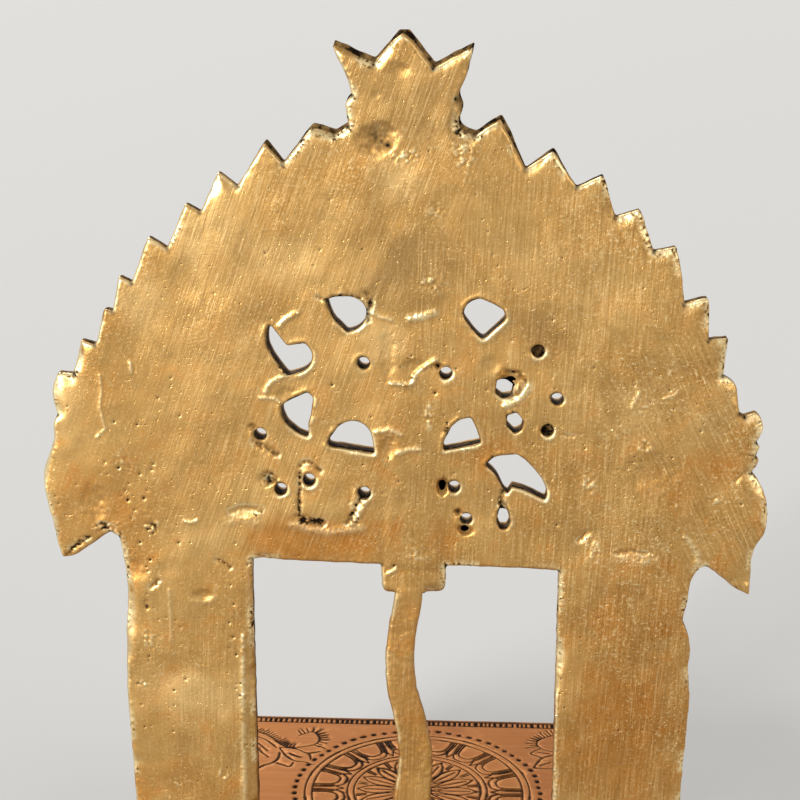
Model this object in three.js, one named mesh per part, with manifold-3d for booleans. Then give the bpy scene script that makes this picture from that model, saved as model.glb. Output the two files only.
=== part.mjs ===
// Brass deity throne: a seat on four turned legs with a pierced flame arch standing at its rear edge.
// Millimetres, +Z up, front towards -Y, origin on the ground under the middle of the throne.
import * as THREE from "three";
import { mergeVertices } from "three/addons/utils/BufferGeometryUtils.js";
import Module from "manifold-3d";

const wasm = await Module();
wasm.setup();

// Seat
const pillarOuter = 81; // outer edge of each pillar from the middle of the throne
const seatMargin = 1; // seat plate beyond the pillars
const seatDepth = 98;
const plateThick = 3;
const blockInset = 2; // leg blocks back from the seat's edge
const borderInset = 1; // cut border back from the seat's edge
const borderWidth = 1.2;
const borderDepth = 0.3;
const fieldGap = 1.5; // between the idol's field and the rivet heads behind it

// Legs
const turnedHeight = 25;
const turnedOverlap = 0.4; // turned part let into the block above it
const blockSize = 16;
const blockHeight = 18;
const legSides = 20;

// Leg screws
const screwRadius = 1.85;
const screwHeadRadius = 3.6;
const screwHeadHeight = 2.4;
const screwSlot = 0.9; // width of the driver slot
const screwSlotDepth = 1;
const screwHeadDepth = 5.5; // depth of the counterbore in the foot
const screwTipBelow = 0.2; // screw tip under the seat's surface
const screwChamfer = 0.5;
const screwSides = 14;

// Aprons
const apronThick = 3;
const apronOffset = 4.5; // from the middle of the leg block, outwards
const tongueLength = 4;
const apronEnd = 13; // height of an apron where it meets a leg block
const lobeDepth = 3.2;
const centreLobeExtra = 2;
const frontLobes = 7;
const sideLobes = 3;
const lobeSteps = 6;

// Arch casting
const backLedge = 7; // seat behind the arch
const archThick = 4.2;
const canopyRise = 1.5; // openwork field in front of the plate
const windowLeft = 42.8; // inner edge of the left pillar
const windowRight = 44.3; // inner edge of the right pillar
const windowTop = 95.5; // above the seat
const bossLeft = 5.8;
const bossRight = 12.4;
const bossBottom = 87; // above the seat
const bossFront = 8;
const bossCorner = 2;
const bossInset = 0.4; // thick part of the boss inside its outline
const bossBack = 0.5; // boss and stem behind the back face of the arch
const spineWidth = 15; // raised band that runs up from the boss
const spineTop = 116; // above the seat
const spineBack = 0.4;
const windowSlope = 1; // rise of the window's top edge from its middle to its left end, and fall to its right
const drillRadius = 1.8;
const drillSides = 10;
const blindDepth = 3; // drilled spots that stop short of the relief

// Relief on the front of the arch
const columnRadius = 10;
const columnDepth = 6.4; // column in front of the plate
const columnSides = 20;
const pedestalHeight = 12;
const capitalHeight = 10;
const mouldingDepth = 6; // pedestal and capital in front of the plate
const mouldingInset = 1; // pedestal and capital back from the pillar's edges
const mouldingStep = 2;
const bandCentre = 120; // middle of the two round bands, above the seat
const innerBandRadius = 63;
const outerBandRadius = 84.5;
const bandWidth = 3.6;
const bandRise = 2.4;
const bandRounding = 0.8;
const bandReach = 0.97 * Math.PI; // how far round its centre a band runs
const bandSteps = 30;
const reliefBevel = 1;
const crownRise = 5;
const crownInset = 0.86; // size of the raised crown against the crest's outline
const rosetteRadius = 12;
const rosetteDepth = 6;
const rosetteHeight = 208; // above the seat
const rosetteSides = 20;
const wingRise = 2.6;

// Tenons and sockets
const fit = 0.3; // clearance round a tenon, tongue, screw or rivet
const past = 1; // how far a cut runs past a face, and a raised part into the plate behind it
const tenonInset = 3.2; // tenon from the pillar's inner edge
const tenonSetback = 2.5; // tenon from the back face of the arch
const tenonThick = 4;
const socketWall = 2;
const socketDepth = 12;
const socketGap = 0.7; // between a socket and the leg block beside it
const tenonShort = 1; // tenon end above the socket's mouth
const flangeThick = 2;
const flangeReach = 9; // flange in front of the sleeve

// Socket rivets
const rivetRadius = 1.5;
const rivetHeadRadius = 2.8;
const rivetHeadHeight = 1.5;
const rivetTailRadius = 2.4;
const rivetTailHeight = 1.1;
const rivetInset = 4; // from the flange's free edges
const rivetSides = 12;

// Stem
const stemThick = 4;
const stemTenonWidth = 5;
const stemTenonThick = 2.4;
const stemTenonTop = 5;
const stemTenonFoot = 5;
const stemSteps = 24;
// Middle line of the stem, from the boss to the seat: sideways place, share of the way down, half width.
const stemLine = [
  [-2.3, 0, 4],
  [0.1, 0.15, 4.1],
  [0.65, 0.26, 4.15],
  [-0.2, 0.36, 4.3],
  [-2.2, 0.45, 4.5],
  [-3.8, 0.55, 4.8],
  [-3.8, 0.66, 5.1],
  [-2.9, 0.76, 5.5],
  [-2.3, 0.88, 6],
  [-2, 1, 7],
];

// Heights and places that follow from the sizes above
const seatHalfWidth = pillarOuter + seatMargin;
const blockTop = turnedHeight + blockHeight;
const seatTop = blockTop + plateThick;
const archBack = seatDepth / 2 - backLedge;
const archFront = archBack - archThick;
const legX = seatHalfWidth - blockInset - blockSize / 2;
const legY = seatDepth / 2 - blockInset / 2 - blockSize / 2;
const tenonOuter = legX - blockSize / 2 - socketGap - socketWall - fit;
const tenonBack = archBack - tenonSetback;
const tenonFront = tenonBack - tenonThick;
const rivetY = tenonFront - fit - socketWall - flangeReach + rivetInset;
const fieldBack = rivetY - rivetHeadRadius - fieldGap;
const stemBack = archBack + bossBack;
const stemFront = stemBack - stemThick;
const stemMiddle = (stemBack + stemFront) / 2;

const brass = new THREE.MeshStandardMaterial({ color: 0xc8a05a, roughness: 0.42, metalness: 1 });
const copper = new THREE.MeshStandardMaterial({ color: 0xba7a54, roughness: 0.4, metalness: 1 });
const steel = new THREE.MeshStandardMaterial({ color: 0x9a9890, roughness: 0.45, metalness: 1 });

// Outline points are [sideways, height above the seat]. Points beside the wings are measured from the
// pillar's outer edge, so the wings stay on the pillars.
const leftTeeth = [
  [18, 216],
  [24, 218],
  [31.5, 208.5],
  [36.5, 214],
  [44, 202.5],
  [49, 206.5],
  [54, 195.5],
  [58, 198],
  [63.5, 185.5],
  [68.5, 189],
  [73.5, 176],
  [77, 178],
];
const leftWing = [
  [-2, 168],
  [0.5, 169],
  [2.5, 160.5],
  [3.5, 158.5],
  [7.5, 160],
  [10, 150],
  [14.5, 150.5],
  [16.5, 145.5],
  [16, 141],
  [15, 138.5],
  [16.5, 136.5],
  [16.5, 131],
  [19.5, 124],
  [20.5, 120.5],
  [20, 115.5],
  [19, 109],
  [18, 103],
  [16.5, 95.5],
  [13, 96],
  [7.5, 100],
  [2, 104],
];
const leftPillar = [
  [-0.5, 102.5],
  [-1.5, 94],
  [-2, 84.5],
  [-1, 72],
  [-0.5, 55],
  [-1, 34],
  [-1.5, 19],
  [-1, 0],
];
const rightTeeth = [
  [19, 216],
  [25.5, 220.5],
  [32.5, 207.5],
  [39.5, 212.5],
  [46, 203],
  [53, 206.5],
  [56.5, 195],
  [63, 197.5],
  [67, 186],
  [73, 187.5],
  [74.5, 181],
];
const rightWing = [
  [-5.5, 172],
  [1, 174],
  [1.5, 171.5],
  [1.5, 162],
  [7, 163],
  [6.5, 158],
  [6, 152],
  [8.5, 151],
  [10, 149.5],
  [11, 141.5],
  [12.5, 140.5],
  [15.5, 142],
  [17.5, 140.5],
  [18, 137],
  [16, 133.5],
  [17.5, 132],
  [16, 129.5],
  [17.5, 128.5],
  [15.5, 124.5],
  [18.5, 121],
  [20, 116],
  [20.5, 112],
  [20, 106.5],
  [17.5, 103.5],
  [17, 101],
  [17, 88],
  [12.5, 90.5],
  [8.5, 94],
  [4.5, 97],
  [2.5, 96.5],
];
const rightPillar = [
  [1.5, 95],
  [0.5, 93],
  [-0.5, 84],
  [-1.5, 80.5],
  [0.5, 75.5],
  [1.5, 72],
  [1, 65.5],
  [2, 55],
  [1.5, 41],
  [1, 31],
  [1, 0],
];
const crest = [
  [14, 218.5],
  [15, 224.5],
  [13, 226.5],
  [14.5, 231.5],
  [18.5, 239.5],
  [7.5, 234.5],
  [0, 243.5],
  [-8, 233.5],
  [-18.5, 239],
  [-16.5, 231],
  [-14, 226],
  [-16, 223],
  [-14.5, 220],
  [-14.5, 217.5],
];
const openwork = [
  [
    [20.5, 172], [17.5, 173], [13.5, 173], [10.5, 171.5], [9.5, 169],
    [10, 166], [12, 164], [15, 163], [19, 167],
  ],
  [
    [-17, 170.5], [-18.5, 172], [-21, 173], [-27.5, 170],
    [-28, 167.5], [-22, 161.5], [-20, 163], [-16.5, 168],
  ],
  [
    [36, 165], [31.5, 159], [26.5, 160], [24.5, 157.5], [24.5, 155],
    [26, 152.5], [31.5, 150.5], [35.5, 156], [37, 159], [37, 162.5],
  ],
  [
    [26, 146], [24.5, 144.5], [25, 140], [26, 136.5], [26, 133],
    [29, 134], [32, 136.5], [33.5, 140], [33, 142.5],
  ],
  [[20.5, 132], [18, 136], [15.5, 137.5], [13, 138], [10, 137], [8.5, 134.5], [7.5, 128.5], [20.5, 130.5]],
  [[-11.5, 129.5], [-11.5, 132], [-13.5, 136.5], [-15.5, 138.5], [-19, 139.5], [-20.5, 136.5], [-22, 132]],
  [[-26, 150], [-28.5, 150], [-30.5, 148.5], [-30, 145.5], [-27.5, 145], [-25.5, 146.5]],
  [[-29, 140], [-31.5, 141], [-33.5, 138.5], [-33, 136], [-31, 135], [-29, 137]],
  [
    [-23, 125.5], [-25.5, 128], [-32, 129], [-35, 126.5], [-39, 122], [-40.5, 118],
    [-40, 115.5], [-35, 118], [-30.5, 119.5], [-29.5, 117], [-28, 118.5], [-26.5, 122.5],
  ],
  [[-27.4, 112.4], [-29.4, 112.2], [-30.4, 109], [-29.4, 106.6], [-27.4, 106.6], [-26.6, 109]],
];
const drilled = [
  [10.5, 154.5], [-12, 152], [-42.5, 145], [39.5, 133.5], [34, 117.5], [26, 120.5],
  [10.5, 117], [-14.5, 119], [-18, 109.5],
];
const blindDrilled = [[-37, 158.5], [-40, 136]];
// Edge of the raised field that carries the openwork
const canopy = [
  [0, 180], [22, 179], [40, 168], [48, 150], [48, 130], [42, 112], [24, 103],
  [-24, 101], [-42, 106], [-49, 124], [-50, 148], [-42, 166], [-26, 178],
];
// Raised curl on each wing, measured from the pillar's outer edge
const wingCurl = [
  [-6, 150], [2, 153], [9, 146], [12, 134], [15, 120], [14, 106], [9, 106], [2, 112], [-6, 118], [-10, 134],
];
// Radius and height of the turned part of a leg
const turning = [
  [7.6, 0], [8.4, 1.2], [8.4, 3.2], [6.2, 4.6], [5.6, 6], [8, 9], [8.6, 11.5], [7.2, 14.5],
  [5, 17], [4.8, 19], [6.6, 20.2], [6.6, 21.4], [5.4, 22.4], [7.4, 24],
];
// Shares of a half column's radius and of its length, from the pedestal up
const columnProfile = [
  [0.95, 0], [0.95, 0.05], [0.7, 0.09], [0.92, 0.14], [0.92, 0.18], [0.66, 0.23],
  [0.74, 0.42], [0.84, 0.5], [0.74, 0.58], [0.62, 0.8], [0.86, 0.85], [0.86, 0.89], [0.68, 0.93], [0.95, 1],
];

// A closed geometry as a solid.
function solid(geometry) {
  const bare = geometry.index ? geometry.toNonIndexed() : geometry.clone();
  bare.deleteAttribute("normal");
  bare.deleteAttribute("uv");
  const merged = mergeVertices(bare, 1e-4);
  return new wasm.Manifold(
    new wasm.Mesh({
      numProp: 3,
      vertProperties: new Float32Array(merged.attributes.position.array),
      triVerts: new Uint32Array(merged.index.array),
    }),
  );
}

// A solid as a named mesh.
function piece(name, body, material) {
  const { vertProperties, triVerts } = body.getMesh();
  const geometry = new THREE.BufferGeometry();
  geometry.setAttribute("position", new THREE.BufferAttribute(new Float32Array(vertProperties), 3));
  geometry.setIndex(new THREE.BufferAttribute(new Uint32Array(triVerts), 1));
  const mesh = new THREE.Mesh(geometry, material);
  mesh.name = name;
  return mesh;
}

function join(bodies) {
  return bodies.reduce((all, body) => all.add(body));
}

function block(x0, x1, y0, y1, z0, z1) {
  const geometry = new THREE.BoxGeometry(Math.abs(x1 - x0), Math.abs(y1 - y0), Math.abs(z1 - z0));
  return solid(geometry.translate((x0 + x1) / 2, (y0 + y1) / 2, (z0 + z1) / 2));
}

function outline(points) {
  return new THREE.Shape(points.map(([x, z]) => new THREE.Vector2(x, z)));
}

// A standing plate: the outline is [sideways, height], and the plate fills front to back.
function standing(shape, front, back, bevel = 0) {
  const geometry = new THREE.ExtrudeGeometry(shape, {
    depth: back - front - bevel,
    bevelEnabled: bevel > 0,
    bevelThickness: bevel,
    bevelSize: bevel,
    bevelOffset: -bevel,
    bevelSegments: 1,
  });
  // The extrusion runs towards -Y from the back face, and a bevel stays on both ends.
  return solid(geometry.rotateX(Math.PI / 2).translate(0, back, 0));
}

// A turned solid about a vertical axis from a profile of [radius, height].
function turned(profile, sides, x, y, z) {
  const closed = [[0, profile[0][1]], ...profile, [0, profile[profile.length - 1][1]]];
  const points = closed.map(([r, h]) => new THREE.Vector2(r, h));
  return solid(new THREE.LatheGeometry(points, sides).rotateX(Math.PI / 2).translate(x, y, z));
}

function circlePoints(x, z, radius, sides) {
  return Array.from({ length: sides }, (_, i) => {
    const turn = (2 * Math.PI * i) / sides;
    return [x + radius * Math.cos(turn), z + radius * Math.sin(turn)];
  });
}

// The arch seen from the front, from the crest down one side and up the other.
function archShape() {
  const above = ([x, h]) => [x, seatTop + h];
  const onLeft = ([x, h]) => [pillarOuter + x, seatTop + h];
  const onRight = ([x, h]) => [-pillarOuter - x, seatTop + h];
  const points = [
    ...crest.map(above),
    ...rightTeeth.map(([x, h]) => [-x, seatTop + h]),
    ...rightWing.map(onRight),
    ...rightPillar.map(onRight),
    [-windowRight, seatTop],
    [-windowRight, seatTop + windowTop - windowSlope],
    [-bossRight, seatTop + windowTop],
    [-bossRight, seatTop + bossBottom + bossCorner],
    [-bossRight + bossCorner, seatTop + bossBottom],
    [bossLeft - bossCorner, seatTop + bossBottom],
    [bossLeft, seatTop + bossBottom + bossCorner],
    [bossLeft, seatTop + windowTop],
    [windowLeft, seatTop + windowTop + windowSlope],
    [windowLeft, seatTop],
    ...leftPillar.map(onLeft).reverse(),
    ...leftWing.map(onLeft).reverse(),
    ...leftTeeth.map(above).reverse(),
  ];
  return outline(points);
}

// The sawn and drilled holes of the openwork, as solids that run through plate and field.
function openworkHoles() {
  const sawn = openwork.map((hole) => hole.map(([x, h]) => [x, seatTop + h]));
  const holes = drilled.map(([x, h]) => circlePoints(x, seatTop + h, drillRadius, drillSides));
  const front = archFront - canopyRise - past;
  return join([...sawn, ...holes].map((points) => standing(outline(points), front, archBack + past)));
}

// The field with the branches stands a little in front of the plate.
function canopyField() {
  const shape = outline(canopy.map(([x, h]) => [x, seatTop + h]));
  return standing(shape, archFront - canopyRise, archFront + past);
}

// A round band over the top half of the arch, about one centre.
function band(radius) {
  const side = (r, from, to) =>
    Array.from({ length: bandSteps + 1 }, (_, i) => {
      const turn = Math.PI / 2 + bandReach * (0.5 - from - ((to - from) * i) / bandSteps);
      return [r * Math.cos(turn), seatTop + bandCentre + r * Math.sin(turn)];
    });
  const points = [...side(radius + bandWidth / 2, 0, 1), ...side(radius - bandWidth / 2, 1, 0)];
  return standing(outline(points), archFront - bandRise, archFront + past, bandRounding);
}

// The half column of a pillar with its stepped pedestal and capital.
function pillarRelief(inner, side) {
  const from = side * (inner + mouldingInset);
  const to = side * (pillarOuter - mouldingInset - mouldingStep);
  const x = (from + to) / 2;
  const top = seatTop + windowTop - windowSlope;
  const back = archFront + past;
  const front = archFront - mouldingDepth;
  const shaftBottom = seatTop + pedestalHeight;
  const shaftTop = top - capitalHeight;
  const profile = columnProfile.map(([r, h]) => [r * columnRadius, h * (shaftTop - shaftBottom)]);
  const shaft = turned(profile, columnSides, 0, 0, shaftBottom);
  const flattened = shaft.scale([1, columnDepth / columnRadius, 1]).translate([x, archFront, 0]);
  const keep = block(
    x - 2 * columnRadius, x + 2 * columnRadius, archFront - 2 * columnDepth, back, shaftBottom, shaftTop,
  );
  const slab = (step, z0, z1) => block(from + side * step, to - side * step, front + step, back, z0, z1);
  return join([
    flattened.intersect(keep),
    slab(0, seatTop, shaftBottom - mouldingStep),
    slab(mouldingStep, seatTop, shaftBottom),
    slab(0, shaftTop + mouldingStep, top),
    slab(mouldingStep, shaftTop, top),
  ]);
}

// The three-pointed crown in front of the crest and the lotus boss under it.
function crownRelief() {
  const middle = crest.reduce((sum, [, h]) => sum + h, 0) / crest.length;
  const smaller = crest.map(([x, h]) => [x * crownInset, seatTop + middle + (h - middle) * crownInset]);
  const crown = standing(outline(smaller), archFront - crownRise, archFront + past, reliefBevel);
  const dome = new THREE.SphereGeometry(rosetteRadius, rosetteSides, rosetteSides / 2);
  const z = seatTop + rosetteHeight;
  const reach = 2 * rosetteRadius;
  dome.scale(1, rosetteDepth / rosetteRadius, 1).translate(0, archFront, z);
  const keep = block(-reach, reach, archFront - reach, archFront + past, z - reach, z + reach);
  return join([crown, solid(dome).intersect(keep)]);
}

function wingRelief(side) {
  const points = wingCurl.map(([x, h]) => [side * (pillarOuter + x), seatTop + h]);
  return standing(outline(points), archFront - wingRise, archFront + past, reliefBevel);
}

// The boss that holds the stem, with the raised band above it and a mortise from below.
function stemBoss() {
  const middle = (bossLeft - bossRight) / 2;
  const boss = block(
    -bossRight + bossInset, bossLeft - bossInset, archBack - bossFront, archBack + bossBack,
    seatTop + bossBottom, seatTop + windowTop + past,
  );
  const spine = block(
    middle - spineWidth / 2, middle + spineWidth / 2, archBack - past, archBack + spineBack,
    seatTop + windowTop, seatTop + spineTop,
  );
  return boss.add(spine);
}

function stemMortise() {
  const [x] = stemLine[0];
  const half = stemTenonWidth / 2 + fit;
  const depth = stemTenonThick / 2 + fit;
  const bottom = seatTop + bossBottom;
  const top = bottom + stemTenonTop + fit;
  return block(x - half, x + half, stemMiddle - depth, stemMiddle + depth, bottom - past, top);
}

// The two spots that are drilled from behind but don't come through.
function blindSpots() {
  const spots = blindDrilled.map(([x, h]) =>
    drill(drillRadius, drillSides, 0, 0, -past, blindDepth)
      .rotate([90, 0, 0])
      .translate([x, archBack, seatTop + h]),
  );
  return join(spots);
}

function pillarTenon(inner, side) {
  const from = side * (inner + tenonInset);
  const bottom = blockTop - socketDepth + tenonShort;
  return block(from, side * tenonOuter, tenonFront, tenonBack, bottom, seatTop + past);
}

function makeArch() {
  const casting = join([
    standing(archShape(), archFront, archBack),
    canopyField(),
    band(innerBandRadius),
    band(outerBandRadius),
    pillarRelief(windowLeft, 1),
    pillarRelief(windowRight, -1),
    crownRelief(),
    wingRelief(1),
    wingRelief(-1),
    stemBoss(),
    pillarTenon(windowLeft, 1),
    pillarTenon(windowRight, -1),
  ]);
  return casting.subtract(join([stemMortise(), openworkHoles(), blindSpots()]));
}

// The stem is a wavy strip along a smooth line, with a tenon at each end.
function makeStem() {
  const middleLine = new THREE.SplineCurve(stemLine.map(([x, t]) => new THREE.Vector2(x, t)));
  const widthLine = new THREE.SplineCurve(stemLine.map(([, t, half]) => new THREE.Vector2(half, t)));
  const heightAt = (share) => seatTop + bossBottom * (1 - share);
  const rows = Array.from({ length: stemSteps + 1 }, (_, i) => {
    const { x, y } = middleLine.getPoint(i / stemSteps);
    return [x, heightAt(y), widthLine.getPoint(i / stemSteps).x];
  });
  const points = [
    ...rows.map(([x, z, half]) => [x + half, z]),
    ...rows.map(([x, z, half]) => [x - half, z]).reverse(),
  ];
  const half = stemTenonWidth / 2;
  const depth = stemTenonThick / 2;
  const [topX] = stemLine[0];
  const [footX] = stemLine[stemLine.length - 1];
  const tenon = (x, z0, z1) => block(x - half, x + half, stemMiddle - depth, stemMiddle + depth, z0, z1);
  const bossZ = seatTop + bossBottom;
  return join([
    standing(outline(points), stemFront, stemBack),
    tenon(topX, bossZ - past, bossZ + stemTenonTop),
    tenon(footX, seatTop - stemTenonFoot, seatTop + past),
  ]);
}

// The places of the rivets that hold a socket.
function rivetPlaces(inner, side) {
  const from = inner + tenonInset - fit - socketWall;
  const to = tenonOuter + fit + socketWall;
  return [[side * (from + rivetInset), rivetY], [side * (to - rivetInset), rivetY]];
}

// A round hole from below to above a plate.
function drill(radius, sides, x, y, from, to) {
  return turned([[radius, from], [radius, to]], sides, x, y, 0);
}

// The shallow border cut round the field that the idol stands on.
function seatBorder() {
  const outer = borderInset;
  const inner = borderInset + borderWidth;
  const slab = (inset) =>
    block(
      -seatHalfWidth + inset, seatHalfWidth - inset, -seatDepth / 2 + inset, fieldBack + inner - inset,
      seatTop - borderDepth, seatTop + past,
    );
  return slab(outer).subtract(slab(inner));
}

// The seat plate with its slots for the tenons and the stem, and holes for the screws and rivets.
function makeSeat() {
  const halfDepth = seatDepth / 2;
  const under = blockTop - past;
  const over = seatTop + past;
  const slot = (x0, x1, y0, y1) =>
    block(Math.min(x0, x1) - fit, Math.max(x0, x1) + fit, y0 - fit, y1 + fit, under, over);
  const stemHalf = stemTenonWidth / 2;
  const stemDepth = stemTenonThick / 2;
  const [footX] = stemLine[stemLine.length - 1];
  const cuts = [
    slot(windowLeft + tenonInset, tenonOuter, tenonFront, tenonBack),
    slot(-windowRight - tenonInset, -tenonOuter, tenonFront, tenonBack),
    slot(footX - stemHalf, footX + stemHalf, stemMiddle - stemDepth, stemMiddle + stemDepth),
  ];
  for (const sx of [-1, 1])
    for (const sy of [-1, 1])
      cuts.push(drill(screwRadius + fit, screwSides, sx * legX, sy * legY, under, over));
  for (const [x, y] of [...rivetPlaces(windowLeft, 1), ...rivetPlaces(windowRight, -1)])
    cuts.push(drill(rivetRadius + fit, rivetSides, x, y, under, over));
  const plate = block(-seatHalfWidth, seatHalfWidth, -halfDepth, halfDepth, blockTop, seatTop);
  return plate.subtract(join([...cuts, seatBorder()]));
}

// The lobed lower edge of an apron, from one end to the other, below the line of its ends.
function lobedEdge(length, lobes) {
  const steps = lobes * lobeSteps;
  return Array.from({ length: steps + 1 }, (_, i) => {
    const along = i / steps;
    const lobe = Math.min(lobes - 1, Math.floor(along * lobes));
    const depth = lobeDepth + (lobe === (lobes - 1) / 2 ? centreLobeExtra : 0);
    const drop = depth * Math.abs(Math.sin(Math.PI * along * lobes));
    return [-length / 2 + along * length, blockTop - apronEnd - drop];
  });
}

// An apron between two leg blocks, its tongues in their grooves.
function makeApron(length, lobes) {
  const end = length / 2 + tongueLength;
  const points = [
    [-end, blockTop],
    [-end, blockTop - apronEnd],
    ...lobedEdge(length, lobes),
    [end, blockTop - apronEnd],
    [end, blockTop],
  ];
  return standing(outline(points), -apronThick / 2, apronThick / 2);
}

// A turned leg with its square block, grooves for two aprons and a bore for its screw.
function makeLeg(sx, sy) {
  const x = sx * legX;
  const y = sy * legY;
  const half = blockSize / 2;
  const profile = [...turning, [turning[turning.length - 1][0], turnedHeight + turnedOverlap]];
  const body = join([
    turned(profile, legSides, x, y, 0),
    block(x - half, x + half, y - half, y + half, turnedHeight, blockTop),
  ]);
  const grooveHalf = apronThick / 2 + fit;
  const grooveDepth = tongueLength + fit;
  const grooveBottom = blockTop - apronEnd - fit;
  const yAcross = y + sy * apronOffset;
  const xAcross = x + sx * apronOffset;
  const alongX = block(
    x - sx * (half + past), x - sx * (half - grooveDepth), yAcross - grooveHalf, yAcross + grooveHalf,
    grooveBottom, blockTop + past,
  );
  const alongY = block(
    xAcross - grooveHalf, xAcross + grooveHalf, y - sy * (half + past), y - sy * (half - grooveDepth),
    grooveBottom, blockTop + past,
  );
  const bore = [
    [screwHeadRadius + fit, -past],
    [screwHeadRadius + fit, screwHeadDepth],
    [screwRadius + fit, screwHeadDepth],
    [screwRadius + fit, blockTop + past],
  ];
  return body.subtract(join([alongX, alongY, turned(bore, screwSides, x, y, 0)]));
}

// A leg's long screw: its slotted head bears on the step in the foot.
function makeLegScrew(sx, sy) {
  const headBottom = screwHeadDepth - screwHeadHeight;
  const profile = [
    [screwHeadRadius - screwChamfer, headBottom],
    [screwHeadRadius, headBottom + screwChamfer],
    [screwHeadRadius, screwHeadDepth],
    [screwRadius, screwHeadDepth],
    [screwRadius, seatTop - screwTipBelow - screwChamfer],
    [screwRadius - screwChamfer, seatTop - screwTipBelow],
  ];
  const x = sx * legX;
  const y = sy * legY;
  const slot = block(
    x - 2 * screwHeadRadius, x + 2 * screwHeadRadius, y - screwSlot / 2, y + screwSlot / 2,
    headBottom - past, headBottom + screwSlotDepth,
  );
  return turned(profile, screwSides, x, y, 0).subtract(slot);
}

// A sleeve under the seat with a flange towards the front, riveted to the seat plate.
function makeSocket(inner, side) {
  const from = side * (inner + tenonInset - fit - socketWall);
  const to = side * (tenonOuter + fit + socketWall);
  const front = tenonFront - fit - socketWall;
  const back = tenonBack + fit + socketWall;
  const sleeve = block(from, to, front, back, blockTop - socketDepth, blockTop);
  const flange = block(from, to, front - flangeReach, front + past, blockTop - flangeThick, blockTop);
  const pocket = block(
    side * (inner + tenonInset - fit), side * (tenonOuter + fit), tenonFront - fit, tenonBack + fit,
    blockTop - socketDepth - past, blockTop + past,
  );
  let body = sleeve.add(flange).subtract(pocket);
  const under = blockTop - flangeThick - past;
  for (const [x, y] of rivetPlaces(inner, side))
    body = body.subtract(drill(rivetRadius + fit, rivetSides, x, y, under, blockTop + past));
  return body;
}

// A rivet with a domed head on the seat and a flat tail under the flange.
function makeRivet(x, y) {
  const tailTop = blockTop - flangeThick;
  const profile = [
    [rivetTailRadius, tailTop - rivetTailHeight],
    [rivetTailRadius, tailTop],
    [rivetRadius, tailTop],
    [rivetRadius, seatTop],
    [rivetHeadRadius, seatTop],
    [rivetHeadRadius * 0.8, seatTop + rivetHeadHeight * 0.65],
    [rivetHeadRadius * 0.4, seatTop + rivetHeadHeight],
  ];
  return turned(profile, rivetSides, x, y, 0);
}

const throne = new THREE.Group();

const backPanel = new THREE.Group();
backPanel.add(piece("arch_plate", makeArch(), brass));
backPanel.add(piece("stem", makeStem(), brass));
throne.add(backPanel);

const base = new THREE.Group();
base.add(piece("seat_plate", makeSeat(), copper));

const frontLength = 2 * legX - blockSize;
const sideLength = 2 * legY - blockSize;
for (const [name, sy] of [["apron_front", -1], ["apron_rear", 1]]) {
  const apron = piece(name, makeApron(frontLength, frontLobes), brass);
  apron.position.y = sy * (legY + apronOffset);
  base.add(apron);
}
for (const [name, sx] of [["apron_right", -1], ["apron_left", 1]]) {
  const apron = piece(name, makeApron(sideLength, sideLobes), brass);
  apron.rotation.z = Math.PI / 2;
  apron.position.x = sx * (legX + apronOffset);
  base.add(apron);
}

for (const [endName, sy] of [["front", -1], ["rear", 1]])
  for (const [sideName, sx] of [["right", -1], ["left", 1]]) {
    base.add(piece(`leg_${endName}_${sideName}`, makeLeg(sx, sy), brass));
    base.add(piece(`leg_screw_${endName}_${sideName}`, makeLegScrew(sx, sy), steel));
  }

for (const [name, inner, side] of [["left", windowLeft, 1], ["right", windowRight, -1]]) {
  base.add(piece(`tenon_socket_${name}`, makeSocket(inner, side), brass));
  rivetPlaces(inner, side).forEach(([x, y], i) => {
    base.add(piece(`socket_rivet_${name}_${i + 1}`, makeRivet(x, y), brass));
  });
}
throne.add(base);

export default throne;
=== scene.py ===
# Brass deity throne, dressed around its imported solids. Shapes are worked out in millimetres.
import bpy
import numpy as np
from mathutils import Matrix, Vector
from mathutils.geometry import delaunay_2d_cdt


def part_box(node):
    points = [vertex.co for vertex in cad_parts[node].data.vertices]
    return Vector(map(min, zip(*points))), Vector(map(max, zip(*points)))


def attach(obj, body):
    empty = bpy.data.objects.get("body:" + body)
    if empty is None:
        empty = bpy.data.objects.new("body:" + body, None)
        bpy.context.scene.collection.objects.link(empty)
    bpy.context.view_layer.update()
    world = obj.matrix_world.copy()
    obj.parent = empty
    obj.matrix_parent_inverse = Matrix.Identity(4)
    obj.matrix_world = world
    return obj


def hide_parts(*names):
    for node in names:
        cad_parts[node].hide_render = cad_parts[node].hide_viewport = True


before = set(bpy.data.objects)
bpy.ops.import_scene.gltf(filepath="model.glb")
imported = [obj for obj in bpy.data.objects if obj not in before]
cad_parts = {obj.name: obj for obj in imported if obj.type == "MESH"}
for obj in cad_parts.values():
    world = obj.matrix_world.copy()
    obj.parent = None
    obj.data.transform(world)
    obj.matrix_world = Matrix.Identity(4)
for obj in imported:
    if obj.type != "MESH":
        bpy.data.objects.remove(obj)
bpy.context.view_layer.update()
mm = 0.001

def nodeBox(node):
    low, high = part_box(node)
    return np.array(low) / mm, np.array(high) / mm

seatTop = nodeBox("seat_plate")[1][2]
plate = {
    "back": nodeBox("stem")[1][1] - 0.5,  # filed back face of the arch casting
    "thick": 4.2,
    "split": 2.5,  # depth of the back half, behind the seam inside the casting
    "section": 4.0,  # depth at which the casting's outline is taken
    "blindSection": 1.0,  # depth at which the blind drillings show as well
    "clear": 0.02,  # gap between the casting and the seat
}
plate["front"] = plate["back"] - plate["thick"]
plate["seam"] = plate["back"] - plate["split"]

# Helpers for outlines

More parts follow.
